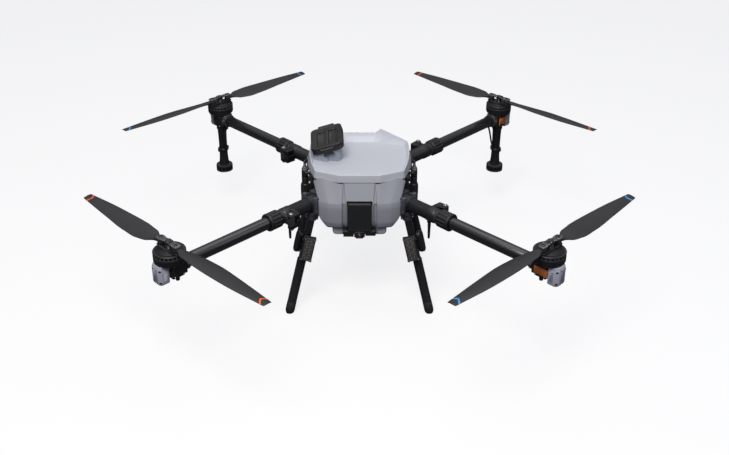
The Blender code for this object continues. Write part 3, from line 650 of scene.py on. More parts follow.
def arm_root():
    """Flange on the tube's inner end and the lug that turns on the hinge pin."""
    flange = arm_sleeve([
        (0.0205, 0.3768), (0.0240, 0.3768), (0.0245, 0.3774), (0.0245, 0.3842),
        (0.0238, 0.3850), (0.0216, 0.3850), (0.0216, 0.3920), (0.0205, 0.3920)], 72)
    bend = [(x, y) for x, y in arc(PIN_X, PIN_Y, 0.0136, 60, 215, 16)
            if x > 0.3772 or y > 0.0285]
    outline = [(0.3772, 0.0180), (0.3842, 0.0180), (0.3842, 0.0400), (0.3800, 0.0560)]
    return join([flange, plate(outline + bend[2:], ARM_Z - 0.0150, ARM_Z + 0.0150, 0.0012)])


# place along the arm, radius, share of the ribs' height
NUT_PROFILE = [
    (0.3856, 0.0262, 0.0), (0.3862, 0.0272, 0.0), (0.3905, 0.0272, 0.0), (0.3912, 0.0282, 0.0),
    (0.3922, 0.0286, 0.25), (0.3945, 0.0288, 0.9), (0.3975, 0.0288, 1.0), (0.4080, 0.0288, 1.0),
    (0.4190, 0.0288, 1.0), (0.4300, 0.0288, 1.0), (0.4318, 0.0290, 0.75), (0.4328, 0.0300, 0.25),
    (0.4335, 0.0311, 0.0), (0.4345, 0.0315, 0.0), (0.4392, 0.0315, 0.0), (0.4408, 0.0304, 0.0),
    (0.4419, 0.0290, 0.0), (0.4419, 0.0240, 0.0), (0.4400, 0.0224, 0.0), (0.3870, 0.0224, 0.0),
    (0.3856, 0.0230, 0.0)]


def lock_nut():
    """A plain collar inboard, fourteen rounded ribs and a thick lip outboard."""
    seg, ribs = 224, 14
    rib_height, rib_width = 0.0027, 0.72          # the width is a share of the pitch
    rings = []
    for x, radius, share in NUT_PROFILE:
        ring = []
        for i in range(seg):
            off_crest = abs((i * ribs / seg) % 1.0 - 0.5) / 0.5
            lift = 0.0
            if off_crest < rib_width:
                lift = sqrt(max(0.0, 1.0 - (off_crest / rib_width) ** 2)) * rib_height
            reach = radius + lift * share
            angle = 2 * pi * i / seg
            ring.append((x, reach * cos(angle), reach * sin(angle)))
        rings.append(ring)
    mesh = skin(rings, loop=True)
    mesh.transform(move(z=ARM_Z))
    return mesh


# ------------------------------------------------------------------ motor mount
BAND_BLOCK_Y = 0.0262


def mount_body():
    """A bevelled saddle with a round motor seat, gussets and side fins."""
    parts = [
        plate(rounded(rect(0.7975, -0.0300, 0.8440, 0.0300), [0.010, 0.004, 0.004, 0.010], 6),
              0.4020, 0.4560, 0.0030, 3),
        plate(rounded(rect(0.7860, -0.0270, 0.8000, 0.0270), 0.004, 4), 0.4045, 0.4520, 0.0025),
        lathe([(0.0, 0.4556), (0.0440, 0.4556), (0.0490, 0.4574), (0.0500, 0.4580),
               (0.0500, 0.4599), (0.0493, 0.4605), (0.0, 0.4605)], 72, HUB)]
    parts += around([box((0.020, -0.0016, 0.4490), (0.0455, 0.0016, 0.4575))], 8, 0.5,
                    move(HUB_X))
    for side in (-1, 1):
        for k in range(4):
            z = 0.4100 + 0.0085 * k
            parts.append(rbox((0.8335, side * 0.0290, z), (0.8490, side * 0.0309, z + 0.0040),
                              0.0007, 2))
    return join(parts)


def mount_bands():
    """Two bands round the tube, with a split block on each side."""
    parts = []
    for start, end in ((0.7725, 0.7795), (0.7815, 0.7875)):
        parts.append(arm_sleeve([(0.0217, start), (0.0262, start), (0.0270, start + 0.0008),
                                 (0.0270, end - 0.0008), (0.0262, end), (0.0217, end)], 56))
    for y in (-BAND_BLOCK_Y, BAND_BLOCK_Y):
        parts.append(rbox((0.7725, y - 0.0050, ARM_Z - 0.0065),
                          (0.7875, y + 0.0050, ARM_Z + 0.0065), 0.0015, 2))
    return join(parts)


def mount_bolts():
    parts = []
    for y in (-BAND_BLOCK_Y, BAND_BLOCK_Y):
        for x in (0.7765, 0.7838):
            for up in (1, -1):
                parts.append(screw((x, y, ARM_Z + up * 0.0065), (0, 0, up), 0.0026, 0.0022))
    for side in (-1, 1):
        for x in (0.8040, 0.8370):
            for z in (0.4480, 0.4072):
                parts.append(screw((x, side * 0.0298, z), (0, side, 0), 0.0027, 0.0016))
    for x in (0.8060, 0.8360):
        for y in (-0.020, 0.020):
            parts.append(screw((x, y, 0.4022), (0, 0, -1), 0.0034, 0.0030))
    return join(parts)


def mount_knobs():
    profile = [(0.0, 0.3880), (0.0048, 0.3880), (0.0062, 0.3890), (0.0070, 0.3930),
               (0.0070, 0.4025), (0.0, 0.4025)]
    return join([lathe(profile, 28, (0.8215, y, 0)) for y in (-0.0195, 0.0195)])


STATOR_TEETH = 24


def stator_iron():
    core = lathe([(0.0, 0.4604), (0.0240, 0.4604), (0.0240, 0.4885), (0.0, 0.4885)], 48, HUB)
    tooth = [box((0.0220, -0.0014, 0.4650), (0.0420, 0.0014, 0.4860)),
             box((0.0415, -0.0042, 0.4650), (0.0440, 0.0042, 0.4860))]
    return join([core] + around(tooth, STATOR_TEETH, at=move(HUB_X)))


def stator_wire():
    coil = rbox((0.0262, -0.0040, 0.4628), (0.0410, 0.0040, 0.4882), 0.0034)
    return join(around([coil], STATOR_TEETH, at=move(HUB_X)))


def esc_body():
    """Cover on the arm's outer end: wedge plan, tapered and rounded below."""
    def plan(inset, radius):
        points = [(0.8501, -0.0298 + inset), (0.8740, -0.0298 + inset),
                  (0.8860 - inset, -0.0200 + inset * 0.4), (0.8860 - inset, 0.0120 - inset * 0.4),
                  (0.8760, 0.0200 - inset), (0.8501, 0.0200 - inset)]
        return rounded(points, [0.0, 0.005, radius, radius, 0.005, 0.0])
    # height, inset, corner radius
    levels = [(0.3880, 0.0095, 0.004), (0.3884, 0.0072, 0.005), (0.3896, 0.0048, 0.006),
              (0.3918, 0.0026, 0.006), (0.3950, 0.0010, 0.006), (0.3990, 0.0, 0.006),
              (0.4470, 0.0, 0.006), (0.4500, 0.0006, 0.006), (0.4506, 0.0014, 0.006)]
    return skin([at_z(plan(inset, radius), z) for z, inset, radius in levels])


def esc_pads():
    """Raised panels on the cover's sides and outer end, and its top lip."""
    parts = []
    for y, side in ((-0.0293, -1), (0.0195, 1)):
        pad = plate(rrect(0.0165, 0.0400, 0.0030, 5), 0.0, 0.0013, 0.0006)
        parts.append(moved(pad, move(0.8620, y, 0.4230) @ turn('X', -90 * side)))
    end_pad = plate(rrect(0.0230, 0.0400, 0.0030, 5), 0.0, 0.0010, 0.0005)
    parts.append(moved(end_pad, move(0.8853, -0.0040, 0.4230) @ FACE_X))
    lip = rounded([(0.8501, -0.0294), (0.8730, -0.0294), (0.8842, -0.0200), (0.8842, 0.0120),
                   (0.8745, 0.0196), (0.8501, 0.0196)], [0, .004, .005, .005, .004, 0])
    parts.append(plate(lip, 0.4502, 0.4562, 0.0010, 2, 40))
    return join(parts)


def esc_slots():
    """Painted shade: thin near-black patches for the slots on the cover's slanted corners, and
    dots on its end.
    """
    parts = []
    # place x, y and outward direction x, y
    for x, y, out_x, out_y in ((0.8801, -0.0251, 0.0098, -0.0120),
                               (0.8812, 0.0162, 0.0080, 0.0100)):
        aim = Vector((out_x, out_y, 0)).normalized().to_track_quat('Z', 'Y')
        for z, height in ((0.4425, 0.0050), (0.4010, 0.0040)):
            slot = prism(rrect(0.0080, height, 0.0014, 4), -0.0004, 0.0007)
            parts.append(moved(slot, move(x, y, z) @ aim.to_matrix().to_4x4()))
    for z in (0.4455, 0.4005):
        for y in (-0.0130, 0.0050):
            dot = prism(rrect(0.0042, 0.0042, 0.0020, 4), -0.0003, 0.0012)
            parts.append(moved(dot, move(0.8854, y, z) @ turn('Y', 90)))
    return join(parts)


def tag_plate():
    tag_mesh = plate(rrect(0.0500, 0.0270, 0.0020, 5), 0.0, 0.0013, 0.0004)
    return moved(tag_mesh, move(0.8238, -0.0309, 0.4260) @ turn('X', 90))


# ------------------------------------------------------------------ motor bell, on its axis
def bell():
    """Motor can: lower wall, a ring of cooling slots and a closed top."""
    lower = lathe([
        (0.0462, 0.4612), (0.0496, 0.4610), (0.0510, 0.4616), (0.0518, 0.4632), (0.0520, 0.4650),
        (0.0520, 0.4702), (0.0517, 0.4706), (0.0517, 0.4712), (0.0520, 0.4716), (0.0520, 0.4812),
        (0.0517, 0.4818), (0.0488, 0.4818), (0.0488, 0.4640)], 120, loop=True)
    upper = lathe([
        (0.0488, 0.4904), (0.0517, 0.4904), (0.0520, 0.4910), (0.0519, 0.4926), (0.0513, 0.4940),
        (0.0500, 0.4950), (0.0402, 0.4950), (0.0396, 0.4944), (0.0388, 0.4944), (0.0382, 0.4951),
        (0.0180, 0.4957), (0.0170, 0.4968), (0.0, 0.4968), (0.0, 0.4925), (0.0470, 0.4925)], 120)
    web = rbox((0.0486, -0.0023, 0.4814), (0.0518, 0.0023, 0.4908), 0.0005, 1)
    return join([lower, upper] + around([web], 24, 0.5))


# near-black sleeve inside the bell: painted shade seen through its cooling slots
def bell_core():
    return lathe([(0.0476, 0.4630), (0.0485, 0.4630), (0.0485, 0.4922), (0.0476, 0.4922)], 96,
                 loop=True)


def bell_shaft():
    return lathe([(0.0, 0.4545), (0.0055, 0.4545), (0.0060, 0.4550), (0.0060, 0.4980),
                  (0.0, 0.4980)], 32)


# ------------------------------------------------------------------ blade clamp
# in the frame whose X runs along the blades
def clamp_lower():
    outline = rounded([(-0.0520, -0.0125), (-0.0300, -0.0150), (0.0300, -0.0150),
                       (0.0520, -0.0125), (0.0520, 0.0125), (0.0300, 0.0150),
                       (-0.0300, 0.0150), (-0.0520, 0.0125)], 0.010, 6)
    hub = lathe([(0.0, 0.4962), (0.0140, 0.4962), (0.0150, 0.4970), (0.0150, 0.4985),
                 (0.0110, 0.4990), (0.0110, 0.5205), (0.0, 0.5205)], 48)
    return join([plate(outline, 0.4978, 0.5016, 0.0007), hub])


def clamp_upper():
    """A waisted plate over each blade root, with a shallow pocket."""
    edge = spline([(0.0125, 0.0088), (0.0190, 0.0112), (0.0245, 0.0100), (0.0300, 0.0126),
                   (0.0380, 0.0131), (0.0455, 0.0122), (0.0505, 0.0085), (0.0520, 0.0030)],
                  5, clamped=True)
    parts = []
    for side in (-1, 1):
        outline = [(side * x, y) for x, y in edge] + [(side * x, -y) for x, y in reversed(edge)]
        pocket = prism(rrect(0.0085, 0.0090, 0.0026, 4, side * 0.0212), 0.5232, 0.5260)
        parts.append(boolean(plate(outline, 0.5204, 0.5244, 0.0008, 3, 40), pocket))
    return join(parts)


def clamp_centre():
    block = rounded(rect(-0.0120, -0.0125, 0.0120, 0.0125), 0.004)
    return join([plate(block, 0.5195, 0.5262, 0.0009, 3),
                 plate(circle(0.0076, 6, 0.2), 0.5258, 0.5274, 0.0005, 2, 30)])


def clamp_caps():
    return join([screw((side * CLAMP_BOLT_X, 0, 0.5244), (0, 0, 1), 0.0054, 0.0030)
                 for side in (-1, 1)])


def clamp_pins():
    """Blade bolts with their lower heads, and the small screws of the top plates."""
    parts = []
    for side in (-1, 1):
        x = side * CLAMP_BOLT_X
        parts.append(rod(0.0037, (x, 0, 0.4972), (x, 0, 0.5248), 28))
        parts.append(lathe([(0.0, 0.4962), (0.0050, 0.4962), (0.0054, 0.4966),
                            (0.0054, 0.4978), (0.0, 0.4978)], 28, (x, 0, 0)))
        for y in (-0.0078, 0.0078):
            parts.append(screw((side * 0.0285, y, 0.5242), (0, 0, 1), 0.0026, 0.0018))
            parts.append(screw((side * 0.0472, y * 0.75, 0.5242), (0, 0, 1), 0.0025, 0.0018))
    for y in (-0.0080, 0.0080):
        for x in (-0.0080, 0.0080):
            parts.append(screw((x, y, 0.5260), (0, 0, 1), 0.0025, 0.0016))
    return join(parts)


# ------------------------------------------------------------------ blades
# radius, nose and tail distance from the blade's line, pitch in degrees, thickness
STATIONS = [
    (0.0440, 0.0085, 0.0085, 0.0, 0.0150), (0.0600, 0.0115, 0.0115, 3.0, 0.0130),
    (0.0730, 0.0190, 0.0200, 9.0, 0.0100), (0.0870, 0.0245, 0.0285, 13.0, 0.0080),
    (0.1150, 0.0270, 0.0345, 14.0, 0.0070), (0.1430, 0.0300, 0.0390, 13.0, 0.0062),
    (0.1950, 0.0310, 0.0390, 9.5, 0.0055), (0.3000, 0.0290, 0.0305, 6.0, 0.0043),
    (0.4590, 0.0175, 0.0140, 5.0, 0.0028)]
SECTION_POINTS = 18                   # on each of a section's two surfaces
ROOT_RADII = [
    0.0440, 0.0480, 0.0530, 0.0580, 0.0620, 0.0660, 0.0700, 0.0735, 0.0770, 0.0805,
    0.0840, 0.0880, 0.0930, 0.0990, 0.1060, 0.1140, 0.1230, 0.1330, 0.1440]
# radius, share of the section's width and height left: rounds the square-cut tip
TIP_SECTIONS = [(0.4575, 0.985, 0.985), (0.4586, 0.95, 0.95), (0.4590, 0.90, 0.7)]


def station(radius):
    """Section values at a radius, monotone between the stations."""
    table = STATIONS
    if radius <= table[0][0]:
        return table[0][1:]
    if radius >= table[-1][0]:
        return table[-1][1:]
    for i in range(len(table) - 1):
        if table[i][0] <= radius <= table[i + 1][0]:
            break
    span = table[i + 1][0] - table[i][0]
    t = (radius - table[i][0]) / span
    out = []
    for k in range(1, 5):
        start, end = table[i][k], table[i + 1][k]

        def slope(j):
            if j <= 0 or j >= len(table) - 1:
                return (end - start) / span
            before = (table[j][k] - table[j - 1][k]) / (table[j][0] - table[j - 1][0])
            after = (table[j + 1][k] - table[j][k]) / (table[j + 1][0] - table[j][0])
            return 0.0 if before * after <= 0 else 2 * before * after / (before + after)
        out.append((2 * t ** 3 - 3 * t * t + 1) * start
                   + (t ** 3 - 2 * t * t + t) * span * slope(i)
                   + (-2 * t ** 3 + 3 * t * t) * end + (t ** 3 - t * t) * span * slope(i + 1))
    return out


def foil(share, thick):
    """Half thickness of the aerofoil at a share of the chord from the nose."""
    curve = 5 * (0.2969 * sqrt(share) - 0.126 * share - 0.3516 * share * share
                 + 0.2843 * share ** 3 - 0.1015 * share ** 4)
    return curve * thick * 1.02 + 0.00035 * share


def camber(share, chord):
    return 0.055 * chord * 4 * share * (1 - share)


def pitched(radius, y, height, pitch, hand):
    angle = radians(pitch)
    return (radius, hand * (y * cos(angle) - height * sin(angle)),
            BLADE_Z + y * sin(angle) + height * cos(angle))


def blade_section(radius, hand):
    """Ring of points: upper surface nose to tail, then back underneath. The oval of the
    root passes into an aerofoil."""
    lead, trail, pitch, thick = station(radius)
    wing = smooth(0.060, 0.105, radius)
    chord = lead + trail
    ring = []
    for side in (1, -1):
        for i in range(SECTION_POINTS):
            share = i / SECTION_POINTS if side > 0 else 1 - i / SECTION_POINTS
            share = 0.5 * (1 - cos(pi * share))
            oval = sqrt(max(0.0, 1 - (2 * share - 1) ** 2)) ** 0.62 * thick * 0.5
            height = camber(share, chord) * wing
            height += side * (foil(share, thick) * wing + oval * (1 - wing))
            ring.append(pitched(radius, lead - share * chord, height, pitch, hand))
    return ring


def blade(hand):
    radii = ROOT_RADII + [0.1560 + 0.0125 * i for i in range(24)] + [0.4550]
    rings = [blade_section(radius, hand) for radius in radii]
    for radius, wide, high in TIP_SECTIONS:
        ring = blade_section(radius, hand)
        mid_y = sum(point[1] for point in ring) / len(ring)
        mid_z = sum(point[2] for point in ring) / len(ring)
        rings.append([(x, mid_y + (y - mid_y) * wide, mid_z + (z - mid_z) * high)
                      for x, y, z in ring])
    eye = lathe([(0.0042, 0.5022), (0.0118, 0.5022), (0.0124, 0.5028), (0.0124, 0.5192),
                 (0.0118, 0.5198), (0.0042, 0.5198)], 48, (CLAMP_BOLT_X, 0, 0), loop=True)
    return join([skin(rings), eye])


def blade_top(radius, y, hand, lift=0.00014):
    """Point just over the upper surface at a radius and chordwise place (+ to the nose)."""
    lead, trail, pitch, thick = station(radius)
    chord = lead + trail
    share = min(1.0, max(0.0, (lead - y) / chord))
    height = camber(share, chord) + foil(share, thick) + lift
    return pitched(radius, y, height, pitch, hand)


def stripe(hand):
    """A painted V across the blade near its tip, laid on the upper surface."""
    steps, width = 28, 0.0065
    nose_radius, middle_radius, tail_radius = 0.4440, 0.4290, 0.4350
    build = bmesh.new()
    rows = []
    for i in range(steps + 1):
        share = i / steps                          # 0 at the nose, 1 at the tail
        if share < 0.5:
            mid = nose_radius - (nose_radius - middle_radius) * (share / 0.5)
        else:
            mid = middle_radius + (tail_radius - middle_radius) * ((share - 0.5) / 0.5)
        row = []
        for k in range(3):
            radius = mid + width * (k / 2 - 0.5)
            lead, trail, _, _ = station(radius)
            y = (lead - 0.0006) - share * (lead + trail - 0.0014)
            row.append(build.verts.new(blade_top(radius, y, hand)))
        rows.append(row)
    for row, after in zip(rows, rows[1:]):
        for k in range(2):
            build.faces.new((row[k], row[k + 1], after[k + 1], after[k]))
    return modified(mesh_facing(build, (0, 0, 1)), 'SOLIDIFY', thickness=0.00022, offset=-0.6)


# ------------------------------------------------------------------ nozzles (rear arms)
# height, radius over the ribs
NOZZLE_PROFILE = [
    (0.3984, 0.0180), (0.3960, 0.0193), (0.3900, 0.0195), (0.3500, 0.0178), (0.3200, 0.0172),
    (0.2900, 0.0172), (0.2600, 0.0176), (0.2400, 0.0186), (0.2260, 0.0204), (0.2160, 0.0223),
    (0.2135, 0.0225), (0.2131, 0.0215)]


def nozzle_body():
    seg, ribs, rib_height = 144, 12, 0.0011
    rings = []
    for z, radius in NOZZLE_PROFILE:
        ring = []
        for i in range(seg):
            phase = (i * ribs / seg) % 1.0
            rib = rib_height if 0.30 < phase < 0.70 and 0.225 < z < 0.392 else 0.0
            reach = radius - rib_height + rib
            angle = 2 * pi * i / seg
            ring.append((HUB_X + reach * cos(angle), reach * sin(angle), z))
        rings.append(ring)
    return skin(rings)


def nozzle_trim():
    """A collar at mid height with a tab on each side, and a collar at the top."""
    parts = [lathe([(0.0172, 0.2790), (0.0206, 0.2790), (0.0214, 0.2800), (0.0214, 0.2890),
                    (0.0206, 0.2900), (0.0172, 0.2900)], 56, HUB, loop=True)]
    for side in (-1, 1):
        parts.append(rbox((HUB_X - 0.0060, side * 0.0185, 0.2760),
                          (HUB_X + 0.0060, side * 0.0255, 0.2925), 0.0018, 2))
    parts.append(lathe([(0.0180, 0.3800), (0.0212, 0.3800), (0.0218, 0.3806), (0.0218, 0.3934),
                        (0.0212, 0.3940), (0.0180, 0.3940)], 56, HUB, loop=True))
    return join(parts)


def nozzle_line():
    path = [(-0.0500, 0.0100, 0.3990), (-0.0420, 0.0110, 0.3860), (-0.0330, 0.0110, 0.3620),
            (-0.0270, 0.0080, 0.3300), (-0.0215, 0.0030, 0.3020), (-0.0185, 0.0, 0.2860)]
    hose = sweep(spline([(HUB_X + x, y, z) for x, y, z in path], 8), 0.0036, 14)
    elbow = rod(0.0050, (HUB_X - 0.0205, 0, 0.2860), (HUB_X - 0.0120, 0, 0.2860), 20)
    top = rod(0.0052, (HUB_X - 0.0500, 0.0100, 0.3960), (HUB_X - 0.0500, 0.0100, 0.4040), 20)
    return join([hose, elbow, top])


def spray_disc():
    """Spinning cup: slotted cage over a toothed plate."""
    seg, slots = 96, 16
    cage = lathe([
        (0.0322, 0.1902), (0.0345, 0.1902), (0.0350, 0.1912), (0.0350, 0.2080), (0.0340, 0.2112),
        (0.0300, 0.2126), (0.0100, 0.2127), (0.0100, 0.2106), (0.0292, 0.2104),
        (0.0322, 0.2085)], seg, loop=True)
    slot = prism(rrect(0.0086, 0.0125, 0.0020, 4), 0.020, 0.045)
    cutters = [moved(slot, Matrix.Rotation(2 * pi * i / slots, 4, 'Z') @ move(z=0.1995) @ FACE_X)
               for i in range(slots)]
    cage = boolean(cage, join(cutters))
    disc = lathe([(0.0, 0.1846), (0.0280, 0.1846), (0.0338, 0.1862), (0.0350, 0.1880),
                  (0.0350, 0.1900), (0.0330, 0.1904), (0.0, 0.1900)], seg)
    spindle = lathe([(0.0, 0.1890), (0.0060, 0.1890), (0.0100, 0.2110), (0.0, 0.2110)], 32)
    tooth = box((0.0325, -0.0007, 0.1850), (0.0349, 0.0007, 0.1886))
    return join([cage, disc, spindle] + around([tooth], 48))


# ------------------------------------------------------------------ build the arms
def wrap_loc(point):
    """Place along and round the arm tube."""
    return point.x, atan2(point.y, point.z - ARM_Z) * TUBE_RADIUS, 0.0


def blade_loc(hand):
    return lambda point: (point.x, point.y * hand, 0.0)


ARM_ROWS = [
    ("socket_{}", socket_tube(), "black_fine", "airframe", "black_anodised",
     dict(replaces="arm_socket_{}")),
    ("hinge_{}", hinge_block(), "lock", "airframe", "black_anodised"),
    ("hinge_bolt_{}", hinge_bolt(), "steel", "airframe", "clamp_metal"),
    ("hinge_pin_{}", hinge_pin(), "steel", "airframe", "clamp_metal"),
    ("hinge_nut_{}", hinge_nut(), "steel", "airframe", "clamp_metal"),
    ("tube_{}", arm_tube(), "carbon", "arm_{}", "carbon_tube",
     dict(replaces="arm_tube_{}", loc=wrap_loc)),
    ("root_{}", arm_root(), "anodised", "arm_{}", "black_anodised"),
    ("nut_{}_shell", lock_nut(), "black", "nut_{}", "black_plastic",
     dict(replaces="lock_nut_{}", angle=50)),
    ("mount_{}", mount_body(), "black", "arm_{}", "black_anodised",
     dict(replaces="motor_mount_{}")),
    ("bands_{}", mount_bands(), "anodised", "arm_{}", "black_anodised"),
    ("mount_bolts_{}", mount_bolts(), "steel", "arm_{}", "clamp_metal"),
    ("mount_knobs_{}", mount_knobs(), "rubber", "arm_{}", "black_plastic"),
    ("stator_iron_{}", stator_iron(), "iron", "arm_{}", "black_anodised"),
    ("stator_wire_{}", stator_wire(), "copper", "arm_{}", "black_anodised", dict(angle=60)),
    ("tag_{}", tag_plate(), "orange", "arm_{}", "black_plastic"),
    ("esc_{}", esc_body(), "cover", "arm_{}", "end_cover_grey",
     dict(replaces="esc_cover_{}", angle=40)),
    ("esc_pads_{}", esc_pads(), "cover", "arm_{}", "end_cover_grey"),
    ("esc_slots_{}", esc_slots(), "seam", "arm_{}", "black_plastic"),
]
BELL_ROWS = [
    ("bell_{}", bell(), "bell", "rotor_{}", "black_anodised",
     dict(replaces="motor_bell_{}", angle=30)),
    ("bell_shaft_{}", bell_shaft(), "steel", "rotor_{}", "clamp_metal"),
    ("bell_core_{}", bell_core(), "seam", "rotor_{}", "black_anodised"),
]
CLAMP_ROWS = [
    ("clamp_low_{}", clamp_lower(), "anodised", "rotor_{}", "black_anodised",
     dict(replaces="prop_clamp_{}")),
    ("clamp_top_{}", clamp_upper(), "clamp", "rotor_{}", "clamp_metal"),
    ("clamp_mid_{}", clamp_centre(), "anodised", "rotor_{}", "black_anodised"),
    ("clamp_pins_{}", clamp_pins(), "steel", "rotor_{}", "clamp_metal"),
    ("clamp_caps_{}", clamp_caps(), "anodised", "rotor_{}", "black_anodised"),
]
NOZZLE_ROWS = [
    ("nozzle_{}", nozzle_body(), "black", "arm_{}", "black_plastic",
     dict(replaces="nozzle_body_{}", angle=25)),
    ("nozzle_trim_{}", nozzle_trim(), "black_fine", "arm_{}", "black_plastic"),
    ("nozzle_line_{}", nozzle_line(), "hose", "arm_{}", "black_plastic"),
]
DISC_ROWS = [("disc_{}_cup", spray_disc(), "black", "disc_{}", "black_plastic",
              dict(replaces="spray_disc_{}"))]
BLADES = {hand: blade(hand) for hand in (1, -1)}
STRIPES = {hand: stripe(hand) for hand in (1, -1)}

for tag, (direction, blade_direction, hand, paint) in ARMS.items():
    arm_frame = turn('Z', direction)
    hub_frame = arm_frame @ move(HUB_X)
    blade_frame = Matrix.Translation(arm_frame @ Vector(HUB)) @ turn('Z', blade_direction)
    place(ARM_ROWS, arm_frame, tag)
    place(BELL_ROWS, hub_frame, tag)
    place(CLAMP_ROWS, blade_frame, tag)
    for letter, degrees in (("a", 0.0), ("b", 180.0)):
        body = "blade_" + letter + "_{}"
        place([
            (body + "_skin", BLADES[hand], "blade", body, "blade_nylon",
             dict(replaces=body, angle=60, loc=blade_loc(hand))),
            ("stripe_" + letter + "_{}", STRIPES[hand], paint, body, "blade_nylon",
             dict(angle=60)),
        ], blade_frame @ turn('Z', degrees), tag)
    if tag in ("RL", "RR"):
        place(NOZZLE_ROWS, arm_frame, tag)
        place(DISC_ROWS, hub_frame, tag)


# ------------------------------------------------------------------ tank
# half plan of each level: front x, y; front corner x, y; side x; rear of the side x, y;
# rear x, y; height
TANK_LEVELS = [
    (0.070, -0.150, 0.135, -0.125, 0.150, 0.150, 0.090, 0.075, 0.150, 0.4640),
    (0.071, -0.158, 0.143, -0.130, 0.161, 0.161, 0.098, 0.079, 0.164, 0.4800),
    (0.072, -0.160, 0.146, -0.131, 0.166, 0.166, 0.100, 0.080, 0.168, 0.4866),
    (0.072, -0.162, 0.149, -0.132, 0.1880, 0.185, 0.102, 0.081, 0.174, 0.4900),
    (0.072, -0.163, 0.150, -0.132, 0.1915, 0.188, 0.102, 0.081, 0.175, 0.4930),
    (0.073, -0.165, 0.152, -0.134, 0.1895, 0.1865, 0.102, 0.081, 0.1772, 0.5100),
    (0.073, -0.1700, 0.154, -0.137, 0.1889, 0.1858, 0.102, 0.081, 0.1776, 0.5120),
    (0.073, -0.1785, 0.1585, -0.143, 0.1886, 0.1852, 0.102, 0.081, 0.1780, 0.5140),
]
RIM_PLAN = (0.073, -0.1770, 0.157, -0.141, 0.183, 0.180, 0.100, 0.081, 0.1770)
RIM_HEIGHTS = [0.542, 0.542, 0.542, 0.543, 0.545, 0.5615, 0.546]
# inset and rise of the rings that round the rim over
RIM_ROLL = [(0.0, -0.0024), (0.0002, -0.0012), (0.0011, -0.0002), (0.0026, 0.0002),
            (0.0041, -0.0002), (0.0050, -0.0011), (0.0055, -0.0024)]
# how far each corner's rounding reaches along its sides
HALF_REACH = [0.0035, 0.011, 0.030, 0.030, 0.014, 0.0050, 0.0050]
CORNER_REACH = HALF_REACH + HALF_REACH[::-1]
DISH_RINGS = 34


def tank_outline(front_x, front_y, corner_x, corner_y, side_x, rear_side_x, rear_side_y,
                 rear_x, rear_y, heights):
    mid = ((corner_x * 0.42 + side_x * 0.58) + 0.003, corner_y * 0.5 + 0.009)
    half = [(front_x, front_y), (corner_x, corner_y), mid, (side_x, 0.018),
            (rear_side_x, rear_side_y), (rear_x, rear_y), (rear_x * 0.77, rear_y)]
    right = [(x, y, z) for (x, y), z in zip(half, heights)]
    return right + [(-x, y, z) for x, y, z in reversed(right)]


def soft_ring(points, seg=6, fill=3):
    """Rounds each corner of a closed outline and adds points along its sides."""
    count = len(points)
    corners = [Vector(point) for point in points]
    arcs = []
    for i, corner in enumerate(corners):
        back, ahead = corners[i - 1] - corner, corners[(i + 1) % count] - corner
        cut = min(CORNER_REACH[i], back.length * 0.45, ahead.length * 0.45)
        arcs.append(corner_arc(corner + back.normalized() * cut, corner,
                               corner + ahead.normalized() * cut, seg))
    out = []
    for i in range(count):
        out += arcs[i]
        start, end = arcs[i][-1], arcs[(i + 1) % count][0]
        out += [start.lerp(end, (k + 1) / (fill + 1)) for k in range(fill)]
    return out


def inward(ring, inset, rise):
    """Moves a ring's points inward in plan along their own normals."""
    out = []
    for i, point in enumerate(ring):
        along = ring[(i + 1) % len(ring)] - ring[i - 1]
        along.z = 0
        along.normalize()
        out.append(point + Vector((-along.y, along.x, 0)) * inset + Vector((0, 0, rise)))
    return out


def dish_z(x, y):
    """Height of the tank's sunken top: falls to the rear, rises to the sides."""
    base = 0.5405 - (y + 0.17) / 0.34 * 0.0265
    slope = 0.12 * max(0.0, min(1.0, (y + 0.17) / 0.27))
    return base + slope * max(0.0, abs(x) - 0.073)


def tank_shell():
    rings = [soft_ring(tank_outline(*row[:-1], [row[-1]] * 7)) for row in TANK_LEVELS]
    rim = soft_ring(tank_outline(*RIM_PLAN, RIM_HEIGHTS))
    rings.append([low.lerp(high, 0.5) for low, high in zip(rings[-1], rim)])
    rings += [inward(rim, inset, rise) for inset, rise in RIM_ROLL]
    # the wall inside the rim leans further in where it is taller, smoothed round the ring
    lean = [0.0070 + 0.42 * max(0.0, point.z - dish_z(point.x, point.y)) for point in rim]
    for _ in range(14):
        lean = [(lean[i - 1] + lean[i] * 2 + lean[(i + 1) % len(lean)]) / 4
                for i in range(len(lean))]
    top = rings[-1]
    foot = []
    for edge, point, reach in zip(top, rim, lean):
        inside = Vector((-point.x, -point.y * 1.15, 0)).normalized()
        base = point + inside * reach * 1.25
        foot.append(Vector((base.x, base.y, min(dish_z(base.x, base.y), edge.z - 0.0002))))
    for f in (0.35, 0.75):
        rings.append([Vector((high.x + (low.x - high.x) * (f ** 1.5),
                              high.y + (low.y - high.y) * (f ** 1.5),
                              high.z + (low.z - high.z) * f)) for high, low in zip(top, foot)])
    rings.append(foot)
    for k in range(1, DISH_RINGS):
        scale = 1.0 - k / DISH_RINGS
        edge = min(1.0, k / 3.0)
        ring = []
        for point in foot:
            x, y = point.x * scale, point.y * scale
            floor_z = dish_z(x, y)
            carried_z = point.z + (floor_z - dish_z(point.x, point.y))
            ring.append(Vector((x, y, floor_z * edge + carried_z * (1 - edge))))
        rings.append(ring)
    rings.append([Vector((0, 0, dish_z(0, 0)))])
    return skin(rings)


# ------------------------------------------------------------------ filler neck
CAP_X, CAP_Y, CAP_Z = -0.121, 0.008, 0.6085       # middle of the lid's top face
CAP_FRAME = move(CAP_X, CAP_Y, CAP_Z) @ turn('Y', -17.0) @ turn('X', 11.0)
CAP_NORMAL = CAP_FRAME.to_3x3() @ Vector((0, 0, 1))
NECK_FOOT_Z = 0.5060


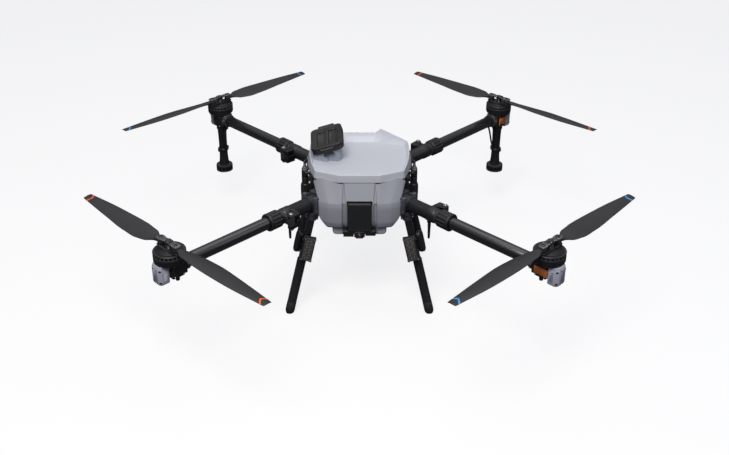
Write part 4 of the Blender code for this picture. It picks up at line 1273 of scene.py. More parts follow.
def neck_top(x, y, drop):
    """Height of the plane parallel to the lid, drop below its top face."""
    tilt = CAP_NORMAL.x * (x - CAP_X) + CAP_NORMAL.y * (y - CAP_Y)
    return CAP_Z - (drop + tilt) / CAP_NORMAL.z


def lid_parallel(points, drop):
    return [(x, y, neck_top(x, y, drop)) for x, y in points]


def neck():
    """Upright round-cornered neck, cut off parallel to the lid, with a thin rim."""
    def outside(inset):
        return rounded(rect(-0.1690, -0.0480, -0.0615, 0.0710, inset, 1),
                       [0.034 - inset, 0.024 - inset, 0.024 - inset, 0.026 - inset], 9)

    def mouth(widen):
        return rounded(rect(-0.1620, -0.0410, -0.0685, 0.0640, -widen, 1), 0.0170 + widen, 9)
    rows = [at_z(outside(0.0016), z) for z in (NECK_FOOT_Z, 0.5200, 0.5400)]
    for inset, drop in ((0.0016, 0.0400), (0.0015, 0.0362), (0.0006, 0.0356), (0.0001, 0.0349),
                        (0.0, 0.0330), (0.0004, 0.0288), (0.0012, 0.0280)):
        rows.append(lid_parallel(outside(inset), drop))
    for widen, drop in ((0.0012, 0.0280), (0.0003, 0.0286), (0.0, 0.0300)):
        rows.append(lid_parallel(mouth(widen), drop))
    rows.append(at_z(mouth(0.0), NECK_FOOT_Z))
    return skin(rows, loop=True)


def neck_rib():
    """Tapered half-round rib on the neck's front wall."""
    top = neck_top(-0.1230, -0.0480, 0.0360)
    rib = lathe([(0.0, 0.5080), (0.0160, 0.5080), (0.0135, 0.5280), (0.0105, 0.5480),
                 (0.0085, top - 0.0015), (0.0072, top), (0.0, top)], 40, (-0.1230, -0.0440, 0.0))
    return boolean(rib, box((-0.16, -0.10, 0.49), (-0.08, -0.0420, 0.60)), 'INTERSECT')


def strainer():
    """Strainer cup hanging upright in the filler neck."""
    def plan(inset):
        return rounded(rect(-0.1615, -0.0405, -0.0690, 0.0635, inset, 1), 0.0165, 6)
    cup = skin([lid_parallel(plan(0.0), 0.0320), lid_parallel(plan(0.0), 0.0345),
                lid_parallel(plan(0.0020), 0.0350), at_z(plan(0.0035), 0.5420),
                at_z(plan(0.0060), 0.5400), at_z(plan(0.0075), 0.5412),
                at_z(plan(0.0055), 0.5425), lid_parallel(plan(0.0040), 0.0355),
                lid_parallel(plan(0.0030), 0.0320)], caps=(False, False))
    parts = [cup, skin([at_z(plan(0.0060), 0.5400), at_z(plan(0.0060), 0.5418)])]
    pitch, half_rib = 0.0070, 0.0009
    for i in range(12):
        x = -0.1537 + pitch * i
        parts.append(rbox((x - half_rib, -0.0330, 0.5414), (x + half_rib, 0.0560, 0.5434),
                          0.0004, 1))
    for i in range(12):
        y = -0.0270 + pitch * i
        parts.append(rbox((-0.1540, y - half_rib, 0.5414), (-0.0760, y + half_rib, 0.5430),
                          0.0004, 1))
    return join(parts)


# ------------------------------------------------------------------ cap, in the lid's frame
LID_HALF_WIDTH = 0.0585
LID_HINGE_Y, LID_HINGE_Z = 0.0655, -0.0215
# inset and height, from the underside out, up and over the top; the first two stay straight
LID_LEVELS = [
    (0.0080, -0.0125), (0.0080, -0.0275), (0.0070, -0.0277), (0.0012, -0.0277),
    (0.0003, -0.0268), (0.0, -0.0255), (0.0, -0.0185), (0.0005, -0.0180), (0.0022, -0.0174),
    (0.0022, -0.0142), (0.0005, -0.0136), (0.0, -0.0131), (0.0, -0.0040), (0.0004, -0.0022),
    (0.0013, -0.0010), (0.0026, -0.0003), (0.0040, 0.0), (0.0062, 0.0), (0.0070, -0.0010),
    (0.0090, -0.0012)]
# height, widening, front and rear y of a recess in the lid's top
RECESS_LEVELS = [(-0.0092, 0.0, -0.0535, 0.0270), (-0.0084, 0.0006, -0.0543, 0.0290),
                 (0.0015, 0.0018, -0.0556, 0.0350)]


def lid():
    """Skirted lid with two recesses in its top, each with a boss at the rear end."""
    rows = []
    for level, (inset, z) in enumerate(LID_LEVELS):
        radii = [0.020 - inset * 0.6, 0.018 - inset * 0.6] + [0.020 - inset * 0.6] * 2
        row = at_z(rounded(rect(-LID_HALF_WIDTH, -0.0655, LID_HALF_WIDTH, 0.0595, inset, 1),
                           radii, 10), z)
        if level >= 2:                             # the front edge bows out a little
            row = [(x, y - 0.0035 * (1 - min(1.0, abs(x) / LID_HALF_WIDTH) ** 2)
                    * smooth(0.03, 0.065, -y), z) for x, y, z in row]
        rows.append(row)
    cutters = []
    for low, high in ((-0.0340, -0.0075), (0.0090, 0.0355)):
        cutters.append(skin([
            at_z(rounded(rect(low - widen, front, high + widen, rear, first=1), 0.0025), z)
            for z, widen, front, rear in RECESS_LEVELS]))
    body = bevel(boolean(skin(rows), join(cutters)), 0.0007, 2, 38)
    bosses = [rbox((x - 0.0128, 0.0285, -0.0060), (x + 0.0128, 0.0410, 0.0006), 0.0022)
              for x in (-0.0207, 0.0222)]
    return join([body] + bosses)


def lid_hinge():
    """Barrel and webs behind the lid, and two lugs in front that flank the latch."""
    parts = [rod(0.0060, (-0.0310, LID_HINGE_Y, LID_HINGE_Z),
                 (0.0310, LID_HINGE_Y, LID_HINGE_Z), 32),
             rbox((-0.0290, 0.0540, -0.0250), (0.0290, 0.0655, -0.0163), 0.0012, 2),
             rbox((-0.0300, 0.0560, -0.0200), (0.0300, 0.0715, -0.0020), 0.0025, 2)]
    for x in (-0.022, -0.0075, 0.0075, 0.022):
        parts.append(rbox((x - 0.0015, 0.0530, -0.0180), (x + 0.0015, 0.0640, -0.0135),
                          0.0007, 2))
    for low, high in ((-0.0268, -0.0217), (0.0217, 0.0268)):
        parts.append(rbox((low, -0.0760, -0.0130), (high, -0.0600, -0.0032), 0.0018, 2))
    return join(parts)


def tank_ears():
    """Fixed knuckles on both sides of the lid's barrel, and the hinge pin."""
    parts = []
    for low, high in ((-0.0450, -0.0315), (0.0315, 0.0450)):
        parts.append(rbox((low, 0.0470, -0.0450), (high, 0.0690, -0.0285), 0.0020, 2))
        parts.append(rbox((low, 0.0600, -0.0310), (high, 0.0705, -0.0210), 0.0018, 2))
        parts.append(rod(0.0060, (low, LID_HINGE_Y, LID_HINGE_Z),
                         (high, LID_HINGE_Y, LID_HINGE_Z), 32))
    parts.append(rod(0.0022, (-0.0462, LID_HINGE_Y, LID_HINGE_Z),
                     (0.0462, LID_HINGE_Y, LID_HINGE_Z), 20))
    return join(parts)


def latch():
    parts = [rbox((-0.0208, -0.0742, -0.0330), (0.0208, -0.0700, -0.0045), 0.0012)]
    for i in range(5):
        x = -0.0150 + 0.0075 * i
        parts.append(rbox((x - 0.0017, -0.0778, -0.0315), (x + 0.0017, -0.0735, -0.0055),
                          0.0013, 2))
    parts.append(rod(0.0044, (-0.0210, -0.0725, -0.0080), (0.0210, -0.0725, -0.0080), 28))
    parts.append(rbox((-0.0205, -0.0770, -0.0340), (0.0205, -0.0712, -0.0290), 0.0020))
    return join(parts)


def latch_pins():
    pin = lathe([(0.0, 0.0), (0.0030, 0.0), (0.0035, 0.0008), (0.0035, 0.0024), (0.0, 0.0028)],
                24)
    return join([moved(pin, move(side * 0.0188, -0.0742, -0.0240) @ turn('X', 90))
                 for side in (-1, 1)])


# ------------------------------------------------------------------ nose cover
CREASE_Z = 0.4475                     # fold between the upper slope and the lower wall
# height, half width of the lower wall
COVER_WIDTH = [(.346, .1138), (.3510, .1185), (.359, .1246), (.372, .1345), (.386, .1435),
               (.392, .1440)]
# height, y of the lower wall at the middle
COVER_MIDDLE = [(.346, -.200), (.352, -.205), (.37, -.2105), (.40, -.2125), (.43, -.2135),
                (.445, -.2107), (.4475, -.2098)]
# x, height of the cover's top edge
COVER_SEAM = [
    (.0, .5133), (.0528, .5130), (.0536, .5112), (.0556, .5092), (.0600, .5095), (.075, .5118),
    (.128, .5212), (.1360, .5203), (.1435, .5176), (.153, .510), (.159, .499), (.162, .494)]
# channel beside the radar: x at the top edge and at the crease; depth at the top edge, at
# the crease and low down
CHANNEL = [
    (0.0520, 0.0463, 0.0, 0.0, 0.0018), (0.0528, 0.0470, 0.0003, 0.0003, 0.0030),
    (0.0533, 0.0476, 0.0011, 0.0012, 0.0042), (0.0537, 0.0484, 0.0036, 0.0046, 0.0060),
    (0.0540, 0.0496, 0.0046, 0.0062, 0.0084), (0.0546, 0.0545, 0.0049, 0.0068, 0.0118),
    (0.0551, 0.0592, 0.0046, 0.0060, 0.0104), (0.0555, 0.0604, 0.0034, 0.0044, 0.0070),
    (0.0559, 0.0612, 0.0014, 0.0014, 0.0020), (0.0566, 0.0620, 0.0004, 0.0004, 0.0005),
    (0.0600, 0.0645, 0.0, 0.0, 0.0)]
# x and y steps that turn the cover's corner back along its side
CORNER_STEPS = [(0.0010, 0.0010), (0.0015, 0.0030), (0.0016, 0.0060), (0.0012, 0.0120),
                (0.0004, 0.0200), (-0.0006, 0.0300)]
FACET_TOP, FACET_LOW, WIDE_TOP = 0.1315, 0.1108, 0.1605
SIDE_STEPS, CORNER_FACE_STEPS = 14, 9
UPPER_SHARES = [0.0, 0.012, 0.03, 0.08, 0.18, 0.30, 0.42, 0.54, 0.66, 0.78, 0.88, 0.95,
                0.985, 1.0]
LOWER_HEIGHTS = [
    0.4470, 0.4450, 0.4420, 0.4380, 0.4330, 0.4260, 0.4150, 0.4020, 0.3900, 0.3800, 0.3750,
    0.3700, 0.3650, 0.3600, 0.3560, 0.3520, 0.3490, 0.3470, 0.3460]
COVER_THICKNESS = 0.0030


def lerp_table(table, at):
    if at <= table[0][0]:
        return table[0][1]
    for (start, low), (end, high) in zip(table, table[1:]):
        if at <= end:
            return low + (high - low) * (at - start) / (end - start)
    return table[-1][1]


def plan_top(x):
    """Cover plan along its top edge, just clear of the tank's band."""
    return -0.1810 + 0.4152 * max(0.0, x - 0.073)


def plan_low(x, middle_y):
    if x <= 0.062:
        return middle_y
    if x <= 0.106:
        f = (x - 0.062) / 0.044
        return middle_y + 0.0045 * f * f
    if x <= 0.1155:
        past = x - 0.106
        return (middle_y + 0.0045 + 0.2045 * past
                + (0.5504 - 0.2045) * past * past / 0.019)
    return middle_y + 0.008086 + 0.5504 * (x - 0.1155)


def cover_row(z=CREASE_Z, share=None):
    """Half a row of the cover for x >= 0. A share runs from the top edge to the crease;
    without one the row lies in the lower wall at height z."""
    row = []
    middle_y = lerp_table(COVER_MIDDLE, z)

    def put(top_x, top_y, low_x, low_y):
        if share is None:
            row.append((low_x, low_y, z))
            return
        top_z = lerp_table(COVER_SEAM, abs(top_x))
        row.append((top_x + (low_x - top_x) * share, top_y + (low_y - top_y) * share,
                    top_z + (CREASE_Z - top_z) * share))

    def put_plan(top_x, low_x, top_depth=0.0, low_depth=0.0):
        put(top_x, plan_top(top_x) + top_depth, low_x, plan_low(low_x, middle_y) + low_depth)
    for f in (0.0, 0.25, 0.5, 0.75, 0.92, 1.0):
        put_plan(0.0508 * f, 0.0450 * f)
    deep = 0.0 if share is not None else 1.0 - smooth(0.4360, 0.4470, z)
    for top_x, low_x, top_depth, crease_depth, full_depth in CHANNEL:
        put_plan(top_x, low_x, top_depth, crease_depth + (full_depth - crease_depth) * deep)
    for k in range(1, SIDE_STEPS + 1):
        f = k / SIDE_STEPS
        put_plan(0.060 + (FACET_TOP - 0.060) * f, 0.0645 + (FACET_LOW - 0.0645) * f)
    wide_top = WIDE_TOP - 0.0016
    wide_low = max(lerp_table(COVER_WIDTH, z) - 0.0016, FACET_LOW + 0.0008)
    for k in range(1, CORNER_FACE_STEPS + 1):
        f = k / CORNER_FACE_STEPS
        put_plan(FACET_TOP + (wide_top - FACET_TOP) * f, FACET_LOW + (wide_low - FACET_LOW) * f)
    top_y, low_y = plan_top(wide_top), plan_low(wide_low, middle_y)
    for step_x, step_y in CORNER_STEPS:
        put(wide_top + step_x, top_y + step_y, wide_low + step_x, low_y + step_y)
    return row


def mirrored(row):
    """A row from -x to +x, from its half with x >= 0."""
    return [(-x, y, z) for x, y, z in reversed(row[1:])] + row


def nose_cover():
    rows = [cover_row(share=share) for share in UPPER_SHARES]
    rows += [cover_row(z=z) for z in LOWER_HEIGHTS]
    build = bmesh.new()
    grid = [[build.verts.new(point) for point in mirrored(row)] for row in rows]
    for row, after in zip(grid, grid[1:]):
        for i in range(len(row) - 1):
            quad = (row[i], after[i], after[i + 1], row[i + 1])
            # the radar window stays open down to the lower edge
            if all(abs(vert.co.x) < 0.0459 and vert.co.z < 0.4556 for vert in quad):
                continue
            build.faces.new(quad)
    bmesh.ops.delete(build, geom=[vert for vert in build.verts if not vert.link_faces],
                     context='VERTS')
    # cut the window's upper corners
    for vert in build.verts:
        if 0.0455 < abs(vert.co.x) < 0.0459 and 0.4550 < vert.co.z < 0.4556:
            vert.co.x -= copysign(0.0012, vert.co.x)
            vert.co.z -= 0.0012
    return modified(mesh_facing(build, (0, -1, 0)), 'SOLIDIFY', thickness=COVER_THICKNESS,
                    offset=-1.0)


def radar_tray():
    """A dark tray behind the opening: painted shade, so the gap round the panel reads as depth.
    """
    outside = rounded(rect(-0.0462, 0.340, 0.0462, 0.4566), [0.0, 0.0, 0.006, 0.006], 8)
    inside = rounded(rect(-0.0442, 0.3425, 0.0442, 0.4538), [0.0, 0.0, 0.005, 0.005], 8)
    return skin([at_y(outside, -0.2075), at_y(inside, -0.2082), at_y(inside, -0.2020),
                 at_y(inside, -0.1990)], caps=(False, True))


def radar_face():
    # inset, y
    levels = [(0.0, -0.2060), (0.0, -0.2182), (0.0006, -0.2194), (0.0018, -0.2202),
              (0.0034, -0.2205), (0.0048, -0.2205), (0.0052, -0.2202), (0.0060, -0.2202)]
    return skin([at_y(rounded(rect(-0.0412, 0.3435, 0.0412, 0.4500, inset),
                              max(0.0008, 0.0040 - inset * 0.5), 6), y)
                 for inset, y in levels])


# ------------------------------------------------------------------ tail cover
# height, half width, y at the middle, y at the side edge
TAIL_LEVELS = [
    (0.5080, 0.126, 0.1860, 0.1620), (0.5000, 0.1265, 0.1868, 0.1645),
    (0.4700, 0.1275, 0.1895, 0.1730), (0.4450, 0.128, 0.1920, 0.1810),
    (0.4320, 0.128, 0.1930, 0.1820), (0.4150, 0.1235, 0.1905, 0.1802),
    (0.4030, 0.120, 0.1880, 0.1790)]


def tail_cover():
    """Curved sheet with seven pairs of level slots."""
    build = bmesh.new()
    grid = []
    for z, width, middle_y, edge_y in TAIL_LEVELS:
        half = [(0.0, middle_y), (0.03, middle_y), (0.06, middle_y), (0.078, middle_y),
                (0.082, middle_y - 0.0003), (0.086, middle_y - 0.0012)]
        bend_x, bend_y = width * 0.85, middle_y * 0.6 + edge_y * 0.4
        for f in (0.3, 0.6, 0.85, 1.0):
            half.append((0.086 + (bend_x - 0.086) * f,
                         middle_y - 0.0012 + (bend_y - middle_y + 0.0012) * f))
        for f in (0.2, 0.5, 0.8, 1.0):
            half.append((bend_x + (width - bend_x) * f, bend_y + (edge_y - bend_y) * f))
        grid.append([build.verts.new(point) for point in mirrored(at_z(half, z))])
    for row, after in zip(grid, grid[1:]):
        for i in range(len(row) - 1):
            build.faces.new((row[i + 1], after[i + 1], after[i], row[i]))
    solid = modified(mesh_facing(build, (0, 1, 0)), 'SOLIDIFY', thickness=COVER_THICKNESS,
                     offset=-1.0)
    slot = prism(rrect(0.0300, 0.0034, 0.0016, 4), -0.02, 0.02)
    cutters = [moved(slot, move(side * 0.0260, 0.190, 0.4260 + 0.0080 * i) @ turn('X', 90))
               for i in range(7) for side in (-1, 1)]
    return bevel(boolean(solid, join(cutters)), 0.0007, 2, 40)


# ------------------------------------------------------------------ camera
CAMERA_AXIS = Vector((0.0, -0.203, 0.327))


def camera_bar():
    parts = [rbox((-0.0600, -0.2150, 0.3305), (0.0600, -0.1780, 0.3425), 0.0016),
             rbox((-0.0570, -0.2130, 0.3168), (-0.0205, -0.1800, 0.3320), 0.0018),
             rbox((0.0205, -0.2130, 0.3205), (0.0570, -0.1800, 0.3320), 0.0018)]
    for side in (-1, 1):
        x = side * 0.0440
        parts.append(rbox((x - 0.010, -0.2160, 0.3330), (x + 0.010, -0.2130, 0.3400),
                          0.0010, 2))
    return join(parts)


def camera_head():
    """A barrel lying across, a face plate and a ring for the lens."""
    half_length = Vector((0.0190, 0, 0))
    body = rod(0.0155, CAMERA_AXIS - half_length, CAMERA_AXIS + half_length, 48)
    body = bevel(body, 0.0012, 2, 40)
    shield = prism([(-0.0185, 0.3400), (0.0185, 0.3400), (0.0185, 0.3265), (0.0120, 0.3130),
                    (-0.0120, 0.3130), (-0.0185, 0.3265)], 0.2020, 0.2190)
    shield.transform(turn('X', 90))
    shield = bevel(shield, 0.0016)
    ring = lathe([(0.0062, 0.0), (0.0095, 0.0), (0.0095, 0.0052), (0.0088, 0.0060),
                  (0.0074, 0.0060), (0.0068, 0.0040), (0.0062, 0.0040)], 48, loop=True)
    ring.transform(Matrix.Translation(CAMERA_AXIS + Vector((0, -0.0155, 0))) @ turn('X', 90))
    return join([body, shield, ring])


def camera_lens():
    glass = lathe([(0.0, 0.0060), (0.0022, 0.0058), (0.0042, 0.0050), (0.0058, 0.0036),
                   (0.0067, 0.0018), (0.0067, 0.0), (0.0, 0.0)], 40)
    return moved(glass, Matrix.Translation(CAMERA_AXIS + Vector((0, -0.0160, 0)))
                 @ turn('X', 90))


# ------------------------------------------------------------------ belly and battery
def belly_shell():
    """Tray open at the top and rear, with six slots in each side."""
    # inset, y
    levels = [(0.0060, -0.1862), (0.0026, -0.1854), (0.0008, -0.1834), (0.0, -0.1802),
              (0.0, 0.1650)]
    outer = skin([at_y(rounded(rect(-0.0960 + inset, 0.3100 + inset, 0.0960 - inset, 0.3950),
                               [0.016, 0.016, 0.0, 0.0], 7), y) for inset, y in levels])
    shell = boolean(outer, box((-0.0925, -0.1827, 0.3140), (0.0925, 0.2000, 0.4200)))
    slot = prism(rrect(0.0260, 0.0050, 0.0024, 5), -0.02, 0.02)
    cutters = [moved(slot, move(side * 0.0950, -0.090 + 0.036 * i, 0.3700) @ FACE_X)
               for side in (-1, 1) for i in range(6)]
    return bevel(boolean(shell, join(cutters)), 0.0008, 2, 40)


def battery_case():
    case = rbox((-0.0860, -0.1000, 0.3152), (0.0860, 0.1670, 0.3928), 0.0045, 4)
    face = rbox((-0.0800, 0.1640, 0.3200), (0.0800, 0.1700, 0.3880), 0.0030)
    pocket = rbox((-0.0560, 0.1580, 0.3360), (0.0560, 0.1800, 0.3740), 0.0060)
    return boolean(boolean(case, face, 'UNION'), pocket)


def battery_handle():
    parts = [rbox((-0.0450, 0.1740, 0.3470), (0.0450, 0.1850, 0.3630), 0.0040, 4)]
    for side in (-1, 1):
        x = side * 0.0410
        parts.append(rbox((x - 0.0050, 0.1560, 0.3480), (x + 0.0050, 0.1820, 0.3620), 0.0030))
    for i in range(9):
        x = -0.0280 + 0.0070 * i
        parts.append(rbox((x - 0.0014, 0.1835, 0.3482), (x + 0.0014, 0.1856, 0.3618),
                          0.0008, 2))
    return join(parts)


def battery_lights():
    dot = lathe([(0.0, 0.0), (0.0022, 0.0), (0.0022, 0.0006), (0.0016, 0.0010), (0.0, 0.0011)],
                20)
    return join([moved(dot, move(0.0620, 0.1698, 0.3700 - 0.0100 * i) @ turn('X', -90))
                 for i in range(4)])


# ------------------------------------------------------------------ pumps and hoses
PUMP_X, PUMP_Y = 0.203, 0.050
# paths on the right side
HOSE_PATH = [(0.1960, 0.0400, 0.4420), (0.1830, 0.0250, 0.4500), (0.1690, 0.0050, 0.4540),
             (0.1560, -0.0350, 0.4660), (0.1400, -0.0700, 0.4780)]
FEED_PATH = [(PUMP_X, PUMP_Y, 0.4750), (0.2020, 0.0540, 0.4840), (0.1860, 0.0740, 0.4830),
             (0.1600, 0.0950, 0.4780), (0.1400, 0.1250, 0.4700)]


def pump_body():
    body = lathe([
        (0.0, 0.3140), (0.0125, 0.3140), (0.0145, 0.3150), (0.0163, 0.3180), (0.0165, 0.3200),
        (0.0165, 0.3420), (0.0157, 0.3427), (0.0157, 0.3443), (0.0165, 0.3450),
        (0.0165, 0.3880), (0.0162, 0.3920), (0.0150, 0.3946), (0.0128, 0.3962),
        (0.0125, 0.3985), (0.0125, 0.4230), (0.0119, 0.4236), (0.0119, 0.4252),
        (0.0125, 0.4258), (0.0125, 0.4490), (0.0118, 0.4500), (0.0, 0.4502)], 64)
    rib = rbox((0.0152, -0.0011, 0.3480), (0.0172, 0.0011, 0.3860), 0.0005, 1)
    ear = rod(0.0030, (0.0142, 0, 0.3900), (0.0142, 0, 0.3962), 16)
    return join([body] + around([rib], 10) + around([ear], 4, 0.5))


def pump_fitting():
    return lathe([
        (0.0, 0.4500), (0.0118, 0.4500), (0.0122, 0.4508), (0.0122, 0.4560), (0.0112, 0.4572),
        (0.0094, 0.4582), (0.0092, 0.4630), (0.0082, 0.4640), (0.0060, 0.4644),
        (0.0062, 0.4672), (0.0050, 0.4680), (0.0058, 0.4710), (0.0048, 0.4718),
        (0.0050, 0.4780), (0.0, 0.4780)], 36)


def sided(path, side):
    return [(side * x, y, z) for x, y, z in path]


def ribbed_hose(path, radius=0.0056, depth=0.0008, pitch=0.0042):
    points = spline(path, 14)
    total = sum((end - start).length for start, end in zip(points, points[1:]))
    dense = []
    for start, end in zip(points, points[1:]):
        dense += [start.lerp(end, k / 3) for k in range(3)]
    dense.append(points[-1])
    return sweep(dense, lambda f: radius + depth * sin(2 * pi * f * total / pitch), 18)


# ------------------------------------------------------------------ corner clamps
STRIP_X, STRIP_Y = 0.2445, 0.0345     # screw line and outer face of the side strips
STRIP_HEIGHTS = (0.4085, 0.4300, 0.4515)


def corner_clamp():
    """Collar round the socket with a block on each side."""
    parts = [arm_sleeve([(0.0252, 0.2270), (0.0268, 0.2270), (0.0275, 0.2278),
                         (0.0275, 0.2572), (0.0268, 0.2580), (0.0252, 0.2580)], 56)]
    for side in (-1, 1):
        parts.append(rbox((0.2225, side * 0.0180, 0.4035), (0.2385, side * 0.0300, 0.4565),
                          0.0016))
    return join(parts)


def corner_strips():
    return join([rbox((0.2375, side * 0.0200, ARM_Z - 0.0315),
                      (0.2515, side * STRIP_Y, ARM_Z + 0.0315), 0.0014) for side in (-1, 1)])


def corner_screws():
    head = lathe([(0.0, 0.0), (0.0036, 0.0), (0.0036, 0.0004), (0.0030, 0.0008),
                  (0.0026, 0.0002), (0.0, 0.0002)], 24)
    return join([moved(head, move(STRIP_X, side * STRIP_Y, z) @ turn('X', -90 * side))
                 for side in (-1, 1) for z in STRIP_HEIGHTS])


# near-black plugs in the middles of the screw heads: painted shade for their recesses
def corner_holes():
    return join([rod(0.0025, (STRIP_X, side * STRIP_Y, z), (STRIP_X, side * 0.0353, z), 18)
                 for side in (-1, 1) for z in STRIP_HEIGHTS])


def antenna():
    return join([
        rbox((0.3335, -0.0080, 0.3900), (0.3465, 0.0040, 0.4080), 0.0020),
        lathe([(0.0, 0.3270), (0.0028, 0.3272), (0.0040, 0.3290), (0.0048, 0.3500),
               (0.0052, 0.3720), (0.0058, 0.3800), (0.0058, 0.3890), (0.0, 0.3890)], 32,
              (0.3400, -0.0020, 0))])


# ------------------------------------------------------------------ landing legs
# leg: which side in x and in y
LEGS = {"FL": (-1, -1), "FR": (1, -1), "RL": (-1, 1), "RR": (1, 1)}
LAMP_SHARE = 0.318                    # place of the lamp down the leg
LAMP_X = 0.0105                       # the lamp's middle, inboard of its leg


def leg_line(tag):
    side_x, side_y = LEGS[tag]
    return (Vector((0.165 * side_x, 0.169 * side_y, 0.393)),
            Vector((0.257 * side_x, 0.217 * side_y, 0.0)))


def leg_turned(profile, tag, seg=48):
    """Turned shape on the leg: (radius, metres from the top)."""
    top, foot = leg_line(tag)
    aim = (foot - top).normalized().to_track_quat('Z', 'Y').to_matrix().to_4x4()
    return moved(lathe(profile, seg), Matrix.Translation(top) @ aim)


def leg_seat(tag, share=0.0):
    """Frame on the leg's line: z up along the leg, x across the craft, y to the rear."""
    top, foot = leg_line(tag)
    upward = -(foot - top).normalized()
    across = Vector((1, 0, -upward.x / upward.z)).normalized()
    back = upward.cross(across).normalized()
    basis = Matrix((across, back, upward)).transposed().to_4x4()
    return Matrix.Translation(top + (foot - top) * share) @ basis


def keep_below(mesh, point, height):
    return boolean(mesh, box((point.x - 0.2, point.y - 0.2, 0.0),
                             (point.x + 0.2, point.y + 0.2, height)), 'INTERSECT')


def leg_parts(tag):
    """The upper rod, the wider lower sleeve and the toe, cut level at the ground."""
    top, foot = leg_line(tag)
    length = (foot - top).length
    joint = length * 0.46
    upper = leg_turned([(0.0, -0.0010), (0.0130, -0.0010), (0.0135, 0.0000),
                        (0.0135, joint + 0.004), (0.0, joint + 0.004)], tag)
    sleeve = leg_turned([(0.0, joint - 0.0040), (0.0150, joint - 0.0040),
                         (0.0164, joint - 0.0026), (0.0165, joint), (0.0165, length - 0.0440),
                         (0.0, length - 0.0440)], tag)
    # radius, metres past the end of the leg's line
    toe_profile = [(0.0, -0.0460), (0.0160, -0.0460), (0.0169, -0.0450), (0.0169, -0.0140),
                   (0.0165, -0.0080), (0.0150, -0.0030), (0.0125, 0.0020), (0.0100, 0.0060),
                   (0.0, 0.0090)]
    toe = leg_turned([(radius, length + past) for radius, past in toe_profile], tag)
    return keep_below(upper, top, 0.3897), sleeve, keep_below(toe, foot, 0.2)


def leg_collar(tag):
    parts = [leg_turned([(0.0137, -0.0020), (0.0170, -0.0020), (0.0180, -0.0010),
                         (0.0180, 0.0260), (0.0170, 0.0275), (0.0137, 0.0275)], tag, 40)]
    for side in (-1, 1):
        ear = rbox((side * 0.0150, -0.0065, -0.0235), (side * 0.0235, 0.0065, -0.0030),
                   0.0018, 2)
        parts.append(moved(ear, leg_seat(tag)))
    return join(parts)


def leg_screws(tag):
    return join([moved(screw((side * 0.0195, -0.0065, z), (0, -1, 0), 0.0027, 0.0022),
                       leg_seat(tag)) for side in (-1, 1) for z in (-0.0180, -0.0080)])


# ------------------------------------------------------------------ lamps (front legs)
# in the leg's frame; middle is the x of the lamp's centre line
def lamp_rings(middle, levels):
    """Rings from (inset, corner radius, y) levels."""
    return [at_y(rounded(rect(middle - 0.0210, -0.0450, middle + 0.0210, 0.0450, inset),
                         radius, 6), y) for inset, radius, y in levels]


def lamp_housing(middle):
    parts = [skin(lamp_rings(middle, [
        (0.0020, 0.005, -0.0172), (0.0, 0.006, -0.0190), (0.0, 0.006, -0.0380),
        (0.0008, 0.006, -0.0394), (0.0022, 0.005, -0.0400), (0.0036, 0.004, -0.0400),
        (0.0040, 0.004, -0.0390)]))]
    for side in (-1, 1):
        for up in (-1, 1):
            x, z = middle + side * 0.0170, up * 0.0410
            parts.append(rod(0.0052, (x, -0.0400, z), (x, -0.0200, z), 24))
    for i in range(7):
        z = -0.0330 + 0.0110 * i
        parts.append(rbox((middle - 0.0190, -0.0178, z - 0.0012),
                          (middle + 0.0190, -0.0145, z + 0.0012), 0.0006, 1))
    return join(parts)


def lamp_face(middle):
    return skin(lamp_rings(middle, [(0.0042, 0.004, -0.0386), (0.0042, 0.004, -0.0396),
                                    (0.0048, 0.004, -0.0399)]))


def led_places(middle):
    """(x, z) of the LEDs: seven staggered rows of two."""
    return [(middle + side * 0.0068 + (0.0020 if row % 2 else -0.0020) * side,
             0.0318 - 0.0106 * row + side * 0.0012) for row in range(7) for side in (-1, 1)]


def lamp_leds(middle):
    dome = lathe([(0.0, 0.0012), (0.0008, 0.0010), (0.0014, 0.0004), (0.0015, 0.0),
                  (0.0, 0.0)], 20)
    return join([moved(dome, move(x, -0.0402, z) @ turn('X', 90))
                 for x, z in led_places(middle)])


def lamp_bases(middle):
    return join([rbox((x - 0.0017, -0.0403, z - 0.0017), (x + 0.0017, -0.0397, z + 0.0017),
                      0.0003, 1) for x, z in led_places(middle)])


def lamp_screws(middle):
    return join([screw((middle + side * 0.0163, -0.0399, up * 0.0402), (0, -1, 0),
                       0.0027, 0.0015) for side in (-1, 1) for up in (-1, 1)])


def lamp_strap():
    parts = []
    for z in (-0.024, 0.024):
        low, high = z - 0.0050, z + 0.0050
        parts.append(lathe([(0.0136, low), (0.0160, low), (0.0160, high), (0.0136, high)], 40,
                           loop=True))
        parts.append(rbox((-0.0100, -0.0182, low), (0.0100, -0.0125, high), 0.0010, 1))
    return join(parts)


def side_pod(side):
    """Capsule housing on the outer rear side of the lamp's leg."""
    radius, half_straight = 0.0185, 0.0205
    outline = arc(0, half_straight, radius, 0, 180, 23)
    outline += arc(0, -half_straight, radius, 180, 180, 23)
    # inset, x
    levels = [(0.0040, -0.0080), (0.0012, -0.0070), (0.0, -0.0050), (0.0, 0.0040),
              (0.0010, 0.0062), (0.0034, 0.0076), (0.0040, 0.0078), (0.0052, 0.0070),
              (0.0080, 0.0070)]
    half_height = radius + half_straight
    shell = skin([[(x, y * (1 - inset / radius), z * (1 - inset / half_height))
                   for y, z in outline] for inset, x in levels])
    pod = join([shell, rbox((-0.0150, -0.0060, -0.0060), (-0.0060, 0.0060, 0.0060),
                            0.0015, 2)])
    if side < 0:
        pod.transform(turn('Z', 180))
    return pod


